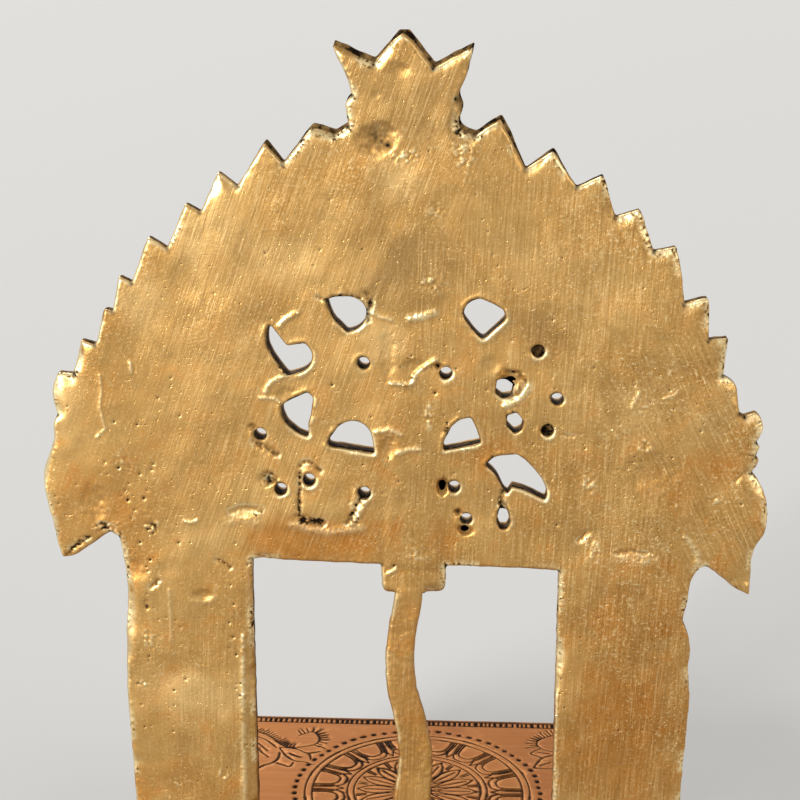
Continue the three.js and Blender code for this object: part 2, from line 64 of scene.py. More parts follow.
# Linear colour from the 0 to 255 values of a painter's swatch.
def tone(r, g, b):
    c = np.array([r, g, b]) / 255
    c = np.where(c > 0.04045, ((c + 0.055) / 1.055) ** 2.4, c / 12.92)
    return (float(c[0]), float(c[1]), float(c[2]), 1.0)

# Value noise from -1 to 1: seeded numbers on a square lattice, eased between neighbours by a quintic.
def smoothNoise(u, v, cell, seed):
    size = 64
    lattice = np.random.default_rng(seed).uniform(-1, 1, (size, size))
    a, b = u / cell + 31.7, v / cell + 17.3
    i, j = np.floor(a).astype(int), np.floor(b).astype(int)
    s, t = (x * x * x * (x * (x * 6 - 15) + 10) for x in (a - i, b - j))
    i, j, iNext, jNext = i % size, j % size, (i + 1) % size, (j + 1) % size
    low = lattice[i, j] * (1 - s) + lattice[iNext, j] * s
    high = lattice[i, jNext] * (1 - s) + lattice[iNext, jNext] * s
    return low * (1 - t) + high * t

# An S-curve from 0 below the first value to 1 above the second.
def ease(x, start, end):
    t = np.clip((x - start) / (end - start), 0, 1)
    return t * t * (3 - 2 * t)

# A bell curve that falls off over the given width.
def bell(x, width):
    return np.exp(-(x / width) ** 2)

# Points at a radius and angle round a middle.
def polar(radius, angle, middle=(0, 0)):
    return np.column_stack([middle[0] + radius * np.cos(angle), middle[1] + radius * np.sin(angle)])

# Even angles round a full turn.
def turnAngles(count):
    return np.linspace(0, 2 * np.pi, count, endpoint=False)

# Points at even steps along a path.
def resample(path, step, closed=False):
    path = np.asarray(path, float)
    if closed:
        path = np.vstack([path, path[:1]])
    run = np.concatenate([[0], np.cumsum(np.hypot(*np.diff(path, axis=0).T))])
    count = max(3, int(round(run[-1] / step)) + 1)
    at = np.linspace(0, run[-1], count)
    if closed:
        at = at[:-1]
    return np.column_stack([np.interp(at, run, path[:, 0]), np.interp(at, run, path[:, 1])])

# A smooth curve through points: Catmull-Rom pieces between neighbours.
def curveThrough(points, perPiece=8):
    p = np.asarray(points, float)
    p = np.vstack([2 * p[0] - p[1], p, 2 * p[-1] - p[-2]])
    t = np.linspace(0, 1, perPiece, endpoint=False)[None, :, None]
    a, b, c, d = (p[k:len(p) - 3 + k, None, :] for k in range(4))
    curve = 2 * b + (c - a) * t + (2 * a - 5 * b + 4 * c - d) * t ** 2 + (3 * b - a - 3 * c + d) * t ** 3
    return np.vstack([0.5 * curve.reshape(-1, p.shape[1]), p[-2:-1]])

def meshPoints(mesh):
    co = np.empty(len(mesh.vertices) * 3)
    mesh.vertices.foreach_get("co", co)
    return co.reshape(-1, 3) / mm

# Closed outlines where a CAD node's triangles cross a plane across the axis, as points in that plane. Each
# crossed triangle gives one step from the edge where it comes up through the plane to the edge where it goes
# down, and the steps are joined at their shared edges.
def sectionLoops(node, axis, level):
    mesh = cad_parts[node].data
    mesh.calc_loop_triangles()
    tri = np.empty(len(mesh.loop_triangles) * 3, int)
    mesh.loop_triangles.foreach_get("vertices", tri)
    points, where = np.unique(np.round(meshPoints(mesh), 3), axis=0, return_inverse=True)
    tri = where.reshape(-1)[tri].reshape(-1, 3)
    above = points[:, axis] > level
    tri = tri[above[tri].any(1) & ~above[tri].all(1)]
    ahead = np.roll(tri, -1, axis=1)
    up = ~above[tri] & above[ahead]
    down = above[tri] & ~above[ahead]
    i, j = tri[down], ahead[down]
    share = (level - points[i, axis]) / (points[j, axis] - points[i, axis])
    spots = points[i] + share[:, None] * (points[j] - points[i])
    key = i.astype(np.int64) * len(points) + j
    wanted = ahead[up].astype(np.int64) * len(points) + tri[up]
    order = np.argsort(key)
    following = order[np.searchsorted(key[order], wanted)]
    spots = np.delete(spots, axis, axis=1)
    loops = []
    left = np.ones(len(tri), bool)
    while left.any():
        here = int(np.argmax(left))
        chain = []
        while left[here]:
            left[here] = False
            chain.append(here)
            here = int(following[here])
        loops.append(spots[chain])
    return sorted(loops, key=lambda loop: -np.ptp(loop, axis=0).sum())

# Corners of an outline and how sharply each turns, without its nearly straight points.
def cornersOf(loop):
    loop = loop[np.hypot(*(loop - np.roll(loop, 1, axis=0)).T) > 0.03]
    behind = loop - np.roll(loop, 1, axis=0)
    ahead = np.roll(loop, -1, axis=0) - loop
    turn = np.arctan2(behind[:, 0] * ahead[:, 1] - behind[:, 1] * ahead[:, 0], (behind * ahead).sum(1))
    real = np.abs(turn) > 0.03
    return loop[real], turn[real]

def areaOf(loop):
    ahead = np.roll(loop, -1, axis=0)
    return (loop[:, 0] * ahead[:, 1] - ahead[:, 0] * loop[:, 1]).sum() / 2

castEdge = {
    "fine": 0.12,  # between samples while an outline is blurred
    "sharpTurn": 0.8,  # radians from which a corner counts as sharp
    "hold": 1.5,  # how far a sharp corner keeps the wide blur away
    "cell": 2.3,  # size of the sideways wander
}

# A cast edge from a cornered outline: finely sampled, blurred along its length, little near sharp corners and
# more elsewhere, wandered sideways by noise and sampled again. Corners in the worn boxes count as soft.
def castOutline(loop, step, sharp=0.4, soft=1.4, wander=0.12, seed=3, wornBoxes=()):
    d = castEdge
    corners, turn = cornersOf(loop)
    fine = resample(corners, d["fine"], closed=True)
    line = fine[:, 0] + 1j * fine[:, 1]
    around = len(fine) * d["fine"]
    wave = 2 * np.pi * np.fft.fftfreq(len(fine), d["fine"])
    spectrum = np.fft.fft(line)
    crisp, flowing = (np.fft.ifft(spectrum * np.exp(-(wave * blur) ** 2 / 2))
                      for blur in (min(sharp, around / 60), min(soft, around / 40)))
    worn = np.zeros(len(corners), bool)
    for low, high in wornBoxes:
        worn |= ((corners > low) & (corners < high)).all(1)
    hard = corners[(np.abs(turn) > d["sharpTurn"]) & ~worn]
    near = np.full(len(fine), 99.0)
    if len(hard):
        near = np.hypot(*(fine[:, None] - hard[None]).transpose(2, 0, 1)).min(1)
    keep = bell(near, d["hold"])
    line = keep * crisp + (1 - keep) * flowing
    side = np.roll(line, -1) - np.roll(line, 1)
    side = -1j * side / np.abs(side)
    line = line + side * wander * smoothNoise(line.real, line.imag, d["cell"], seed)
    return resample(np.column_stack([line.real, line.imag]), step, closed=True)

# Start and end of every step along closed outlines.
def stepsOf(loops):
    return np.vstack(loops), np.vstack([np.roll(loop, -1, axis=0) for loop in loops])

# For every point of closed outlines laid end to end, the number of the point after it.
def nextPoints(loops):
    starts = np.cumsum([0] + [len(loop) for loop in loops])
    return np.concatenate([np.roll(np.arange(s, e), -1) for s, e in zip(starts, starts[1:])])

# Unit vectors to the left of a path's steps.
def leftOf(steps):
    return np.column_stack([-steps[:, 1], steps[:, 0]]) / np.maximum(np.hypot(*steps.T), 1e-6)[:, None]

# Unit vectors across closed outlines, to the left of their run.
def leftOfLoops(loops):
    return leftOf(np.vstack([np.roll(loop, -1, axis=0) - np.roll(loop, 1, axis=0) for loop in loops]))

# Distance from each point to the nearest of a few straight steps.
def stepDistance(points, starts, steps):
    size = np.maximum((steps * steps).sum(1), 1e-9)
    t = np.clip(((points[:, None] - starts) * steps).sum(2) / size, 0, 1)
    gap = points[:, None] - starts - t[..., None] * steps
    return np.sqrt((gap ** 2).sum(2).min(1))

# True for points inside the outlines, counted by the crossings to their left.
def insideOf(points, loops):
    a, b = stepsOf(loops)
    rise = np.where(a[:, 1] == b[:, 1], 1, b[:, 1] - a[:, 1])
    found = np.zeros(len(points), bool)
    batch = 2000
    for start in range(0, len(points), batch):
        u, v = points[start:start + batch, :, None].transpose(1, 0, 2)
        cross = a[:, 0] + (v - a[:, 1]) / rise * (b[:, 0] - a[:, 0])
        passed = ((a[:, 1] > v) != (b[:, 1] > v)) & (cross < u)
        found[start:start + batch] = passed.sum(1) % 2 == 1
    return found

# Distance from each point to the nearest outline, up to a reach. Points go in batches of like height, so each
# batch meets only the edges beside it.
def edgeDistance(points, loops, reach):
    a, b = stepsOf(loops)
    low, high = np.minimum(a[:, 1], b[:, 1]), np.maximum(a[:, 1], b[:, 1])
    found = np.full(len(points), float(reach))
    order = np.argsort(points[:, 1])
    for start in range(0, len(points), 1500):
        batch = order[start:start + 1500]
        p = points[batch]
        beside = (high > p[0, 1] - reach) & (low < p[-1, 1] + reach)
        if beside.any():
            found[batch] = np.minimum(reach, stepDistance(p, a[beside], (b - a)[beside]))
    return found

# How much the nearest outline faces +X and how much up, each from -1 to 1, by points within reach of it.
def edgeFacing(u, v, loops, reach):
    spots = np.column_stack([u, v])
    facing = np.zeros((len(u), 2))
    near = edgeDistance(spots, loops, reach + 0.1) < reach
    for axis in (0, 1):
        shift = 0.1 * np.eye(2)[axis]
        before, after = (edgeDistance(spots[near] + sign * shift, loops, reach + 1) for sign in (-1, 1))
        facing[near, axis] = (before - after) / 0.2
    return facing

# Points of a triangular grid inside the outlines, row by row.
def gridPoints(loops, spacing):
    a, b = stepsOf(loops)
    low, high = a.min(0), a.max(0)
    rows = np.arange(low[1] + spacing / 3, high[1], spacing * 0.866)
    found = []
    for k, v in enumerate(rows):
        hit = (a[:, 1] > v) != (b[:, 1] > v)
        cross = np.sort(a[hit, 0] + (v - a[hit, 1]) / (b[hit, 1] - a[hit, 1]) * (b[hit, 0] - a[hit, 0]))
        u = np.arange(low[0] + (k % 2) * spacing / 2, high[0], spacing)
        u = u[np.searchsorted(cross, u) % 2 == 1]
        found.append(np.column_stack([u, np.full(len(u), v)]))
    return np.vstack(found)

# Triangles over points inside outlines whose own points come first in the list.
def fillPoints(points, loops):
    following = nextPoints(loops)
    rim = len(following)
    edges = np.column_stack([np.arange(rim), following])
    made = delaunay_2d_cdt([Vector(p) for p in points.tolist()], edges.tolist(), [], 0, 1e-7, False)
    if len(made[0]) != len(points):
        raise ValueError("an outline crosses itself")
    tri = np.array(made[2])
    unsure = (tri < rim).all(1)
    keep = ~unsure
    keep[unsure] = insideOf(points[tri[unsure]].mean(1), loops)
    return tri[keep]

# Helpers for surfaces

# A new mesh piece on a body, in place, with its slot and metal, the nodes that it stands for and named values
# for its points.
def addPiece(name, points, faces, body, slot, stands=(), **values):
    mesh = bpy.data.meshes.new(name)
    a, b, c = (points[faces[:, k]] for k in range(3))
    if (a * np.cross(b, c)).sum() < 0:
        faces = faces[:, ::-1]
    mesh.from_pydata((points * mm).tolist(), [], faces.tolist())
    mesh.polygons.foreach_set("use_smooth", np.ones(len(faces), bool))
    mesh.set_sharp_from_angle(angle=np.radians(50))
    mesh.materials.append(metals[slot])
    for key, numbers in values.items():
        mesh.attributes.new(key, "FLOAT", "POINT").data.foreach_set("value", np.asarray(numbers, np.float32))
    obj = bpy.data.objects.new(name, mesh)
    bpy.context.scene.collection.objects.link(obj)
    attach(obj, body)
    if stands:
        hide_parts(*stands)

# Values for a piece's first points, with one plain value for the rest.
def padded(values, count, rest=0.0):
    return np.concatenate([values, np.full(count - len(values), rest)])

# How far a rounded rim lies under its face: a quarter circle, by the distance from the edge.
def edgeDrop(edge, rounding):
    turn = np.clip(rounding - edge, 0, rounding)
    return rounding - np.sqrt(rounding ** 2 - turn ** 2)

# Triangles between a row of wall points and the row below it.
def wallStrip(above, below, following):
    return np.vstack([
        np.column_stack([above, below, below[following]]),
        np.column_stack([above, below[following], above[following]]),
    ])

slabDims = {
    "rings": (0.2, 0.55, 1.0),  # rows of points inside the rim, as shares of its rounding
    "ragged": 0.06,  # how far the middle rows of the walls wander
    "raggedCell": 1.1,
}

# A slab with one worked face: rim points, rings of points inside the rim, a grid over the rest, walls in
# rows and a plain inner face. face(u, v, edge) gives the height of the worked face over the slab's own
# plane, and the rim is rounded down by a quarter circle. fine is a smaller spacing and a test of where it
# holds, and lean moves the walls' far rows sideways and up.
def slabParts(loops, spacing, face, inner, rounding, rows=3, seed=5, fine=None, lean=None):
    if areaOf(loops[0]) < 0:
        loops = [loop[::-1] for loop in loops]
    rim = np.vstack(loops)
    inward = leftOfLoops(loops)
    rings = []
    for share in slabDims["rings"]:
        ring = rim + inward * share * rounding
        rings.append(ring[edgeDistance(ring, loops, 3) > 0.95 * share * rounding])
    grid = gridPoints(loops, spacing)
    if fine is not None:
        spacing, marked = fine
        dense = gridPoints(loops, spacing)
        grid = np.vstack([grid[~marked(*grid.T)], dense[marked(*dense.T)]])
    grid = grid[edgeDistance(grid, loops, 3) > rounding + spacing * 0.45]
    flat = np.vstack([rim, *rings, grid])
    count = len(rim)
    edge = edgeDistance(flat, loops, 8)
    edge[:count] = 0
    height = face(flat[:, 0], flat[:, 1], edge) - edgeDrop(edge, rounding)
    following = nextPoints(loops)
    points = [np.column_stack([flat, height])]
    wall = [np.zeros(len(flat))]
    faces = [fillPoints(flat, loops)]
    above = np.arange(count)
    flare = 0 if lean is None else lean(rim)
    for k in range(1, rows + 1):
        share = k / rows
        level = height[:count] * (1 - share) + inner * share
        push = slabDims["ragged"] * smoothNoise(rim[:, 0] + 7 * k, rim[:, 1], slabDims["raggedCell"], seed)
        shifted = rim - inward * push[:, None] * (k < rows) + flare * share
        points.append(np.column_stack([shifted, level]))
        wall.append(np.full(count, share))
        below = len(flat) + (k - 1) * count + np.arange(count)
        faces.append(wallStrip(above, below, following))
        above = below
    faces.append(fillPoints(rim, loops)[:, ::-1] + above[0])
    holes = np.repeat([k > 0 for k in range(len(loops))], [len(loop) for loop in loops])
    u, v, w = np.vstack(points).T
    return {
        "u": u, "v": v, "w": w,
        "wall": np.concatenate(wall), "edge": padded(edge, len(u)),
        "hole": np.concatenate([holes, np.zeros(len(flat) - count, bool), np.tile(holes, rows)]),
        "faces": np.vstack(faces),
    }

# A closed surface on a grid of rings: row k of the grid is one ring, rows join their rings, and both ends are
# closed by a point each.
def ringSurface(rings, first, last):
    rows, around = rings.shape[:2]
    points = np.vstack([rings.reshape(-1, 3), first, last])
    k = np.arange(rows - 1)[:, None] * around
    i = np.arange(around)[None, :]
    j = (i + 1) % around
    a, b, c, e = (x.ravel() for x in (k + i, k + j, k + around + j, k + around + i))
    i, j = i.ravel(), j.ravel()
    top = (rows - 1) * around
    faces = np.vstack([
        np.column_stack([a, b, c]), np.column_stack([a, c, e]),
        np.column_stack([j, i, np.full(around, rows * around)]),
        np.column_stack([top + i, top + j, np.full(around, rows * around + 1)]),
    ])
    return points, faces

# A turned solid round an upright axis: its profile of radius and height carried round, the radii times a
# share for each row and angle.
def turnedSolid(x, y, profile, around, bottom, top, share=1):
    profile = np.asarray(profile, float)
    angle = turnAngles(around)
    radius = profile[:, :1] * share
    rings = np.stack([x + radius * np.cos(angle), y + radius * np.sin(angle),
                      np.repeat(profile[:, 1:], around, axis=1)], axis=2)
    return ringSurface(rings, [[x, y, bottom]], [[x, y, top]])

# Several closed surfaces as one, with their quads as pairs of triangles.
def joinParts(parts):
    points, faces, offset = [], [], 0
    for p, f in parts:
        if f.shape[1] == 4:
            f = np.vstack([f[:, :3], f[:, [0, 2, 3]]])
        points.append(p)
        faces.append(f + offset)
        offset += len(p)
    return np.vstack(points), np.vstack(faces)

# Distance from points to an open path, up to a reach.
def pathDistance(u, v, path, reach):
    found = np.full(len(u), float(reach))
    low, high = path.min(0) - reach, path.max(0) + reach
    near = np.flatnonzero((u > low[0]) & (u < high[0]) & (v > low[1]) & (v < high[1]))
    if len(near):
        spots = np.column_stack([u[near], v[near]])
        found[near] = np.minimum(reach, stepDistance(spots, path[:-1], np.diff(path, axis=0)))
    return found

# Distance to the nearest of many strokes on a raster: every stroke is sampled at half a cell, and each sample
# spreads its distance over the cells around it.
def strokeRaster(strokes, low, high, cell, reach):
    low = np.asarray(low, float)
    size = np.ceil((np.asarray(high) - low) / cell).astype(int) + 1
    field = np.full(size, float(reach))
    dots = np.vstack([resample(stroke, cell / 2) for stroke in strokes])
    at = (dots - low) / cell
    base = np.round(at).astype(int)
    span = int(np.ceil(reach / cell))
    for di in range(-span, span + 1):
        for dj in range(-span, span + 1):
            i, j = base[:, 0] + di, base[:, 1] + dj
            ok = (i >= 0) & (j >= 0) & (i < size[0]) & (j < size[1])
            gap = np.hypot(i - at[:, 0], j - at[:, 1]) * cell
            np.minimum.at(field, (i[ok], j[ok]), gap[ok])
    return {"field": field, "low": low, "cell": cell}

# A raster read between its cells.
def readRaster(raster, u, v):
    field = raster["field"]
    a, b = (np.clip((x - low) / raster["cell"], 0, most - 1.001)
            for x, low, most in zip((u, v), raster["low"], field.shape))
    i, j = a.astype(int), b.astype(int)
    s, t = a - i, b - j
    low = field[i, j] * (1 - s) + field[i + 1, j] * s
    high = field[i, j + 1] * (1 - s) + field[i + 1, j + 1] * s
    return low * (1 - t) + high * t

# A round-backed ridge, from the distance to its middle line.
def ridge(distance, width, rise):
    return rise * np.sqrt(np.clip(1 - (distance / width) ** 2, 0, 1))

# Materials

# Inputs of a node from links or plain values.
def feed(node, inputs):
    for key, value in inputs.items():
        if isinstance(value, bpy.types.NodeSocket):
            node.id_data.links.new(value, node.inputs[key])
        else:
            node.inputs[key].default_value = value

def newMaterial(name):
    material = bpy.data.materials.new(name)
    material.use_nodes = True
    tree = material.node_tree
    tree.nodes.clear()
    shader = tree.nodes.new("ShaderNodeBsdfPrincipled")
    output = tree.nodes.new("ShaderNodeOutputMaterial")
    tree.links.new(shader.outputs[0], output.inputs[0])
    return material, shader

# Small wrappers that add one node, set its inputs from values or links and give back its output.
def nodeMaker(material):
    def add(kind, out=0, inputs=None, **settings):
        node = material.node_tree.nodes.new(kind)
        for key, value in settings.items():
            setattr(node, key, value)
        feed(node, inputs or {})
        return node.outputs[out]

    def math(operation, a, b=0.0, clamp=False):
        return add("ShaderNodeMath", 0, {0: a, 1: b}, operation=operation, use_clamp=clamp)

    def mixColour(factor, a, b):
        return add("ShaderNodeMix", 2, {0: factor, 6: a, 7: b}, data_type="RGBA")

    def ranged(value, low, high, toLow=0.0, toHigh=1.0):
        limits = {"From Min": low, "From Max": high, "To Min": toLow, "To Max": toHigh}
        return add("ShaderNodeMapRange", 0, {"Value": value, **limits})

    def noise(vector, scale, detail=3.0, roughness=0.55, distortion=0.0):
        inputs = {"Vector": vector, "Scale": scale, "Detail": detail, "Roughness": roughness}
        return add("ShaderNodeTexNoise", 0, {**inputs, "Distortion": distortion})

    def mapped(vector, scale=(1, 1, 1), rotation=(0, 0, 0)):
        return add("ShaderNodeMapping", 0, {"Vector": vector, "Scale": scale, "Rotation": rotation})

    def attribute(name):
        return add("ShaderNodeAttribute", 2, attribute_name=name)

    return add, math, mixColour, ranged, noise, mapped, attribute

filedDims = {
    "tones": [tone(170, 125, 66), tone(191, 148, 84), tone(205, 166, 103)],
    "low": tone(179, 118, 50),  # the more orange tone in patches and low on the plate
    "dull": tone(146, 113, 68),  # the browner tone in patches higher up, partly painted shade
    # pale: the paler tone of the bright zones, partly painted sheen
    "pale": tone(228, 192, 130),
    "scored": tone(132, 86, 36),  # down in the file marks
    "grit": tone(120, 78, 32),
    "soot": tone(20, 12, 7),
    # near-white tone of the painted highlights on burrs, lit edges and file marks
    "burr": tone(255, 234, 180),
    "roughness": (0.36, 0.5),
    "strokes": (1.92, 1.62, 1.12),  # angles of the file marks at the left, in the middle and at the right
    "fileWide": 1600,  # marks to a metre across them
}

# Filed cast brass: colour drifts in blotches and along the file marks, which run three ways over the plate.
# Cavities and walls are dark, partly painted shade; burrs, edges that face the key light and bright streaks
# of the file marks carry painted highlights; and scratches, specks and pores roughen and dent the surface.
def makeFiledBrass():
    material, shader = newMaterial("filedBrass")
    add, math, mixColour, ranged, noise, mapped, attribute = nodeMaker(material)
    spot = add("ShaderNodeTexCoord", 3)
    d = filedDims
    sideways = add("ShaderNodeSeparateXYZ", 0, {0: spot})
    height = add("ShaderNodeSeparateXYZ", 2, {0: spot})
    blotch = noise(spot, 42, 4, 0.6)
    patch = noise(spot, 95, 4, 0.65, 0.6)
    drift = math("ADD", sideways, ranged(patch, 0.3, 0.7, -0.02, 0.02))
    drift = math("ADD", drift, ranged(height, 0.235, 0.26, 0.0, 0.022))
    # The left wing is smoother and the right side a little rougher.
    strength = ranged(sideways, -0.04, -0.065, 1.0, 1.15)
    strength = math("ADD", ranged(sideways, 0.056, 0.08, 0.0, -0.55), strength)
    fromWing = math("ABSOLUTE", math("SUBTRACT", height, 0.19))
    leaning = math("ADD", drift, math("MULTIPLY", fromWing, 0.4))

    def marks(angle, across, along):
        return noise(mapped(mapped(spot, rotation=(0, angle, 0)), (along, along, across)), 1.0, 4, 0.66)

    def blend(factor, a, b):
        return math("ADD", a, math("MULTIPLY", factor, math("SUBTRACT", b, a)))

    def threeWays(across, along):
        left, middle, right = (marks(angle, across, along) for angle in d["strokes"])
        share = math("MULTIPLY", ranged(drift, -0.012, 0.006), ranged(height, 0.125, 0.15, 0.15, 1.0))
        way = blend(share, middle, left)
        return blend(strength, 0.5, blend(ranged(leaning, -0.054, -0.07), way, right))

    fine = threeWays(d["fileWide"], 70)
    broad = threeWays(d["fileWide"] / 4, 30)
    scratch = threeWays(d["fileWide"] * 1.7, 24)
    grain = noise(spot, 1250, 3, 0.62)
    speck = noise(spot, 900, 2, 0.5)
    rubbed = math("MULTIPLY", ranged(blotch, 0.35, 0.65, 1.0, 0.35), ranged(sideways, -0.03, -0.06, 1.0, 1.7))
    shade, burr = attribute("shade"), attribute("burr")
    soot = math("MULTIPLY", attribute("soot"), ranged(noise(spot, 620, 3, 0.6), 0.3, 0.6, 0.7, 1.25), True)
    lowPatch = math("MULTIPLY", ranged(patch, 0.52, 0.72), ranged(height, 0.24, 0.15, 0.1, 0.75))
    shaded = mixColour(ranged(height, 0.17, 0.215), d["low"], d["dull"])
    base = mixColour(ranged(blotch, 0.32, 0.7), d["tones"][0], d["tones"][2])
    for factor, colour in (
        (ranged(broad, 0.3, 0.7, 0.25, 0.75), d["tones"][1]),
        (lowPatch, d["low"]),
        # Zones above zero add the pale tone, partly painted sheen, and those below the orange or browner tone,
        # partly painted shade.
        (math("MULTIPLY", shade, 0.6, True), d["pale"]),
        (math("MULTIPLY", shade, -0.8, True), shaded),
        # Near-white streaks on file marks, scratches and grain, and the near-white of burrs and lit edges, are
        # partly painted highlights.
        (ranged(fine, 0.52, 0.7, 0.0, 0.17), d["burr"]),
        (ranged(scratch, 0.6, 0.7, 0.0, 0.3), d["burr"]),
        (ranged(fine, 0.46, 0.3, 0.0, 0.18), d["scored"]),
        (ranged(scratch, 0.4, 0.32, 0.0, 0.2), d["scored"]),
        (math("MULTIPLY", ranged(grain, 0.56, 0.7, 0.0, 0.34), rubbed), d["burr"]),
        (math("MULTIPLY", ranged(grain, 0.42, 0.3, 0.0, 0.34), rubbed), d["grit"]),
        (ranged(speck, 0.7, 0.76, 0.0, 0.5), d["soot"]),
        (math("MULTIPLY", burr, 0.85, True), d["burr"]),
        (soot, d["soot"]),
    ):
        base = mixColour(factor, base, colour)
    rough = ranged(patch, 0.35, 0.65, *d["roughness"])
    rough = math("ADD", rough, ranged(fine, 0.35, 0.65, -0.05, 0.06))
    rough = math("SUBTRACT", rough, math("MULTIPLY", burr, 0.12))
    bumps = math("ADD", math("MULTIPLY", fine, 0.62), math("MULTIPLY", broad, 0.55))
    bumps = math("ADD", bumps, math("MULTIPLY", math("MULTIPLY", grain, 0.9), rubbed))
    bumps = math("ADD", bumps, math("MULTIPLY", ranged(speck, 0.66, 0.78), -0.8))
    feed(shader, {
        "Base Color": base,
        "Roughness": math("ADD", rough, math("MULTIPLY", soot, 0.45), True),
        "Metallic": math("SUBTRACT", 1.0, math("MULTIPLY", soot, 1.1), True),
        "Normal": add("ShaderNodeBump", 0, {"Strength": 0.62, "Distance": 0.00016, "Height": bumps}),
        "Specular IOR Level": 0.04,
    })
    return material

castDims = {
    "high": tone(205, 160, 86),
    "low": tone(150, 104, 50),
    "recess": tone(34, 21, 12),
    "roughness": (0.34, 0.55),
}

# Cast or turned brass: rubbed high places, a drift of tone, dark recesses from the soot-and-shade attribute
# and a fine sandy skin.
def makeCastBrass():
    material, shader = newMaterial("castBrass")
    add, math, mixColour, ranged, noise, _, attribute = nodeMaker(material)
    spot = add("ShaderNodeTexCoord", 3)
    d = castDims
    drift = noise(spot, 80, 4, 0.6)
    sand = noise(spot, 1700, 3, 0.6)
    base = mixColour(ranged(drift, 0.3, 0.7), d["low"], d["high"])
    base = mixColour(ranged(sand, 0.55, 0.75, 0.0, 0.25), base, d["recess"])
    recess = math("MULTIPLY", attribute("soot"), ranged(noise(spot, 500, 3, 0.6), 0.2, 0.6, 0.6, 1.1), True)
    rough = ranged(drift, 0.3, 0.7, *d["roughness"])
    feed(shader, {
        "Base Color": mixColour(recess, base, d["recess"]),
        "Roughness": math("ADD", rough, math("MULTIPLY", recess, 0.25), True),
        "Metallic": math("SUBTRACT", 1.0, math("MULTIPLY", recess, 1.05), True),
        "Normal": add("ShaderNodeBump", 0, {"Strength": 0.5, "Distance": 0.00012, "Height": sand}),
        "Specular IOR Level": 0.08,
    })
    return material

seatFinish = {
    "plain": tone(163, 107, 59),
    "warm": tone(146, 90, 48),
    "cut": tone(22, 13, 8),
    "lip": tone(206, 152, 98),
    "roughness": (0.54, 0.66),
}

# Copper-toned plate: rubbed and slightly cloudy, dark in the chased lines, with bright lips beside them, a
# painted highlight.
def makeSeatMetal():
    material, shader = newMaterial("engravedPlate")
    add, math, mixColour, ranged, noise, mapped, attribute = nodeMaker(material)
    spot = add("ShaderNodeTexCoord", 3)
    d = seatFinish
    cloud = noise(spot, 60, 4, 0.62)
    rub = noise(mapped(spot, (40, 600, 40)), 1.0, 3, 0.6)
    cut = attribute("soot")
    base = mixColour(ranged(cloud, 0.3, 0.7), d["warm"], d["plain"])
    base = mixColour(ranged(rub, 0.45, 0.8, 0.0, 0.16), base, d["lip"])
    # Painted highlight on the lips beside the cuts.
    base = mixColour(math("MULTIPLY", attribute("burr"), 0.45, True), base, d["lip"])
    rough = ranged(cloud, 0.3, 0.7, *d["roughness"])
    feed(shader, {
        "Base Color": mixColour(cut, base, d["cut"]),
        "Roughness": math("ADD", rough, math("MULTIPLY", cut, 0.3), True),
        "Metallic": math("SUBTRACT", 1.0, math("MULTIPLY", cut, 0.97), True),
        "Normal": add("ShaderNodeBump", 0, {"Strength": 0.35, "Distance": 0.00008, "Height": rub}),
        "Specular IOR Level": 0.1,
    })
    return material

screwFinish = {"clean": tone(160, 157, 150), "grimy": tone(104, 98, 88), "roughness": (0.35, 0.55)}

# Dull plated steel, grimy in patches, with a fine grain.
def makeScrewSteel():
    material, shader = newMaterial("screwSteel")
    add, _, mixColour, ranged, noise, *_ = nodeMaker(material)
    spot = add("ShaderNodeTexCoord", 3)
    d = screwFinish
    grime = noise(spot, 700, 4, 0.6)
    grain = noise(spot, 2500, 2, 0.5)
    feed(shader, {
        "Base Color": mixColour(ranged(grime, 0.35, 0.7), d["clean"], d["grimy"]),
        "Roughness": ranged(grime, 0.3, 0.7, *d["roughness"]),
        "Metallic": 1.0,
        "Normal": add("ShaderNodeBump", 0, {"Strength": 0.3, "Distance": 0.00005, "Height": grain}),
    })
    return material

metals = {
    "filed_brass": makeFiledBrass(),
    "cast_brass": makeCastBrass(),
    "engraved_copper_brass": makeSeatMetal(),
    "screw_steel": makeScrewSteel(),
}
print("materials made")

# Arch casting

archOutline = [np.column_stack([loop[:, 0], np.maximum(loop[:, 1], seatTop)])
               for loop in sectionLoops("arch_plate", 1, plate["back"] - plate["section"])]
throughHoles = [loop.mean(0) for loop in archOutline[1:]]
blindHoles = [loop for loop in sectionLoops("arch_plate", 1, plate["back"] - plate["blindSection"])[1:]
              if np.ptp(loop, axis=0).max() < 5
              and min(np.hypot(*(loop.mean(0) - hole)) for hole in throughHoles) > 2]

archDims = {
    "step": 0.55,  # between points along the casting's edge
    "sharp": 0.6,  # blur at its sharp corners
    "spacing": 0.86,  # between points of its faces
    "fine": 0.38,  # between points where there are marks
    "rounding": 0.55,
    "worn": [((-14, 131), (7.5, 137)), ((-19, 263), (-12, 274))],  # corners of the boss and the right nub
    "tip": (0.8, 286, 289.3),  # how much the crest's tip is worn down, over these heights
    "flare": (-0.5, 1.5, 250, 264),  # sideways and up towards the front at the crest, over these heights
    "waves": [(44, 0.5, 11), (20, 0.38, 12), (9, 0.19, 13), (4.2, 0.06, 14)],  # cell, rise, seed
    "bevel": (0.9, 2.4),  # least and further width of the filed edge
    "bevelDrop": 0.36,  # drop for each millimetre of its width
    # Stretches of a broader bevel: sideways, height, half width, half height, further width
    "broad": [
        (95, 192, 5, 8.4, 2.6), (89, 201.5, 4, 5, 1.2), (5.2, 283, 3.4, 5, 1.4), (-13.5, 281.5, 6, 4, 0.8),
    ],
    "bossRise": 0.3,
    # Boss and spine: sideways from, to, height from, to
    "raised": [(-12.0, 5.4, 133.2, 142.6), (-10.8, 4.2, 141.0, 163.0)],
}
stemLow, stemHigh = nodeBox("stem")
stemOutline = sectionLoops("stem", 1, stemHigh[1] - 0.7)[0]
stemTop = stemOutline[:, 1].max()
stemJoint = stemOutline[stemOutline[:, 1] > stemTop - 0.5, 0]  # its width under the boss
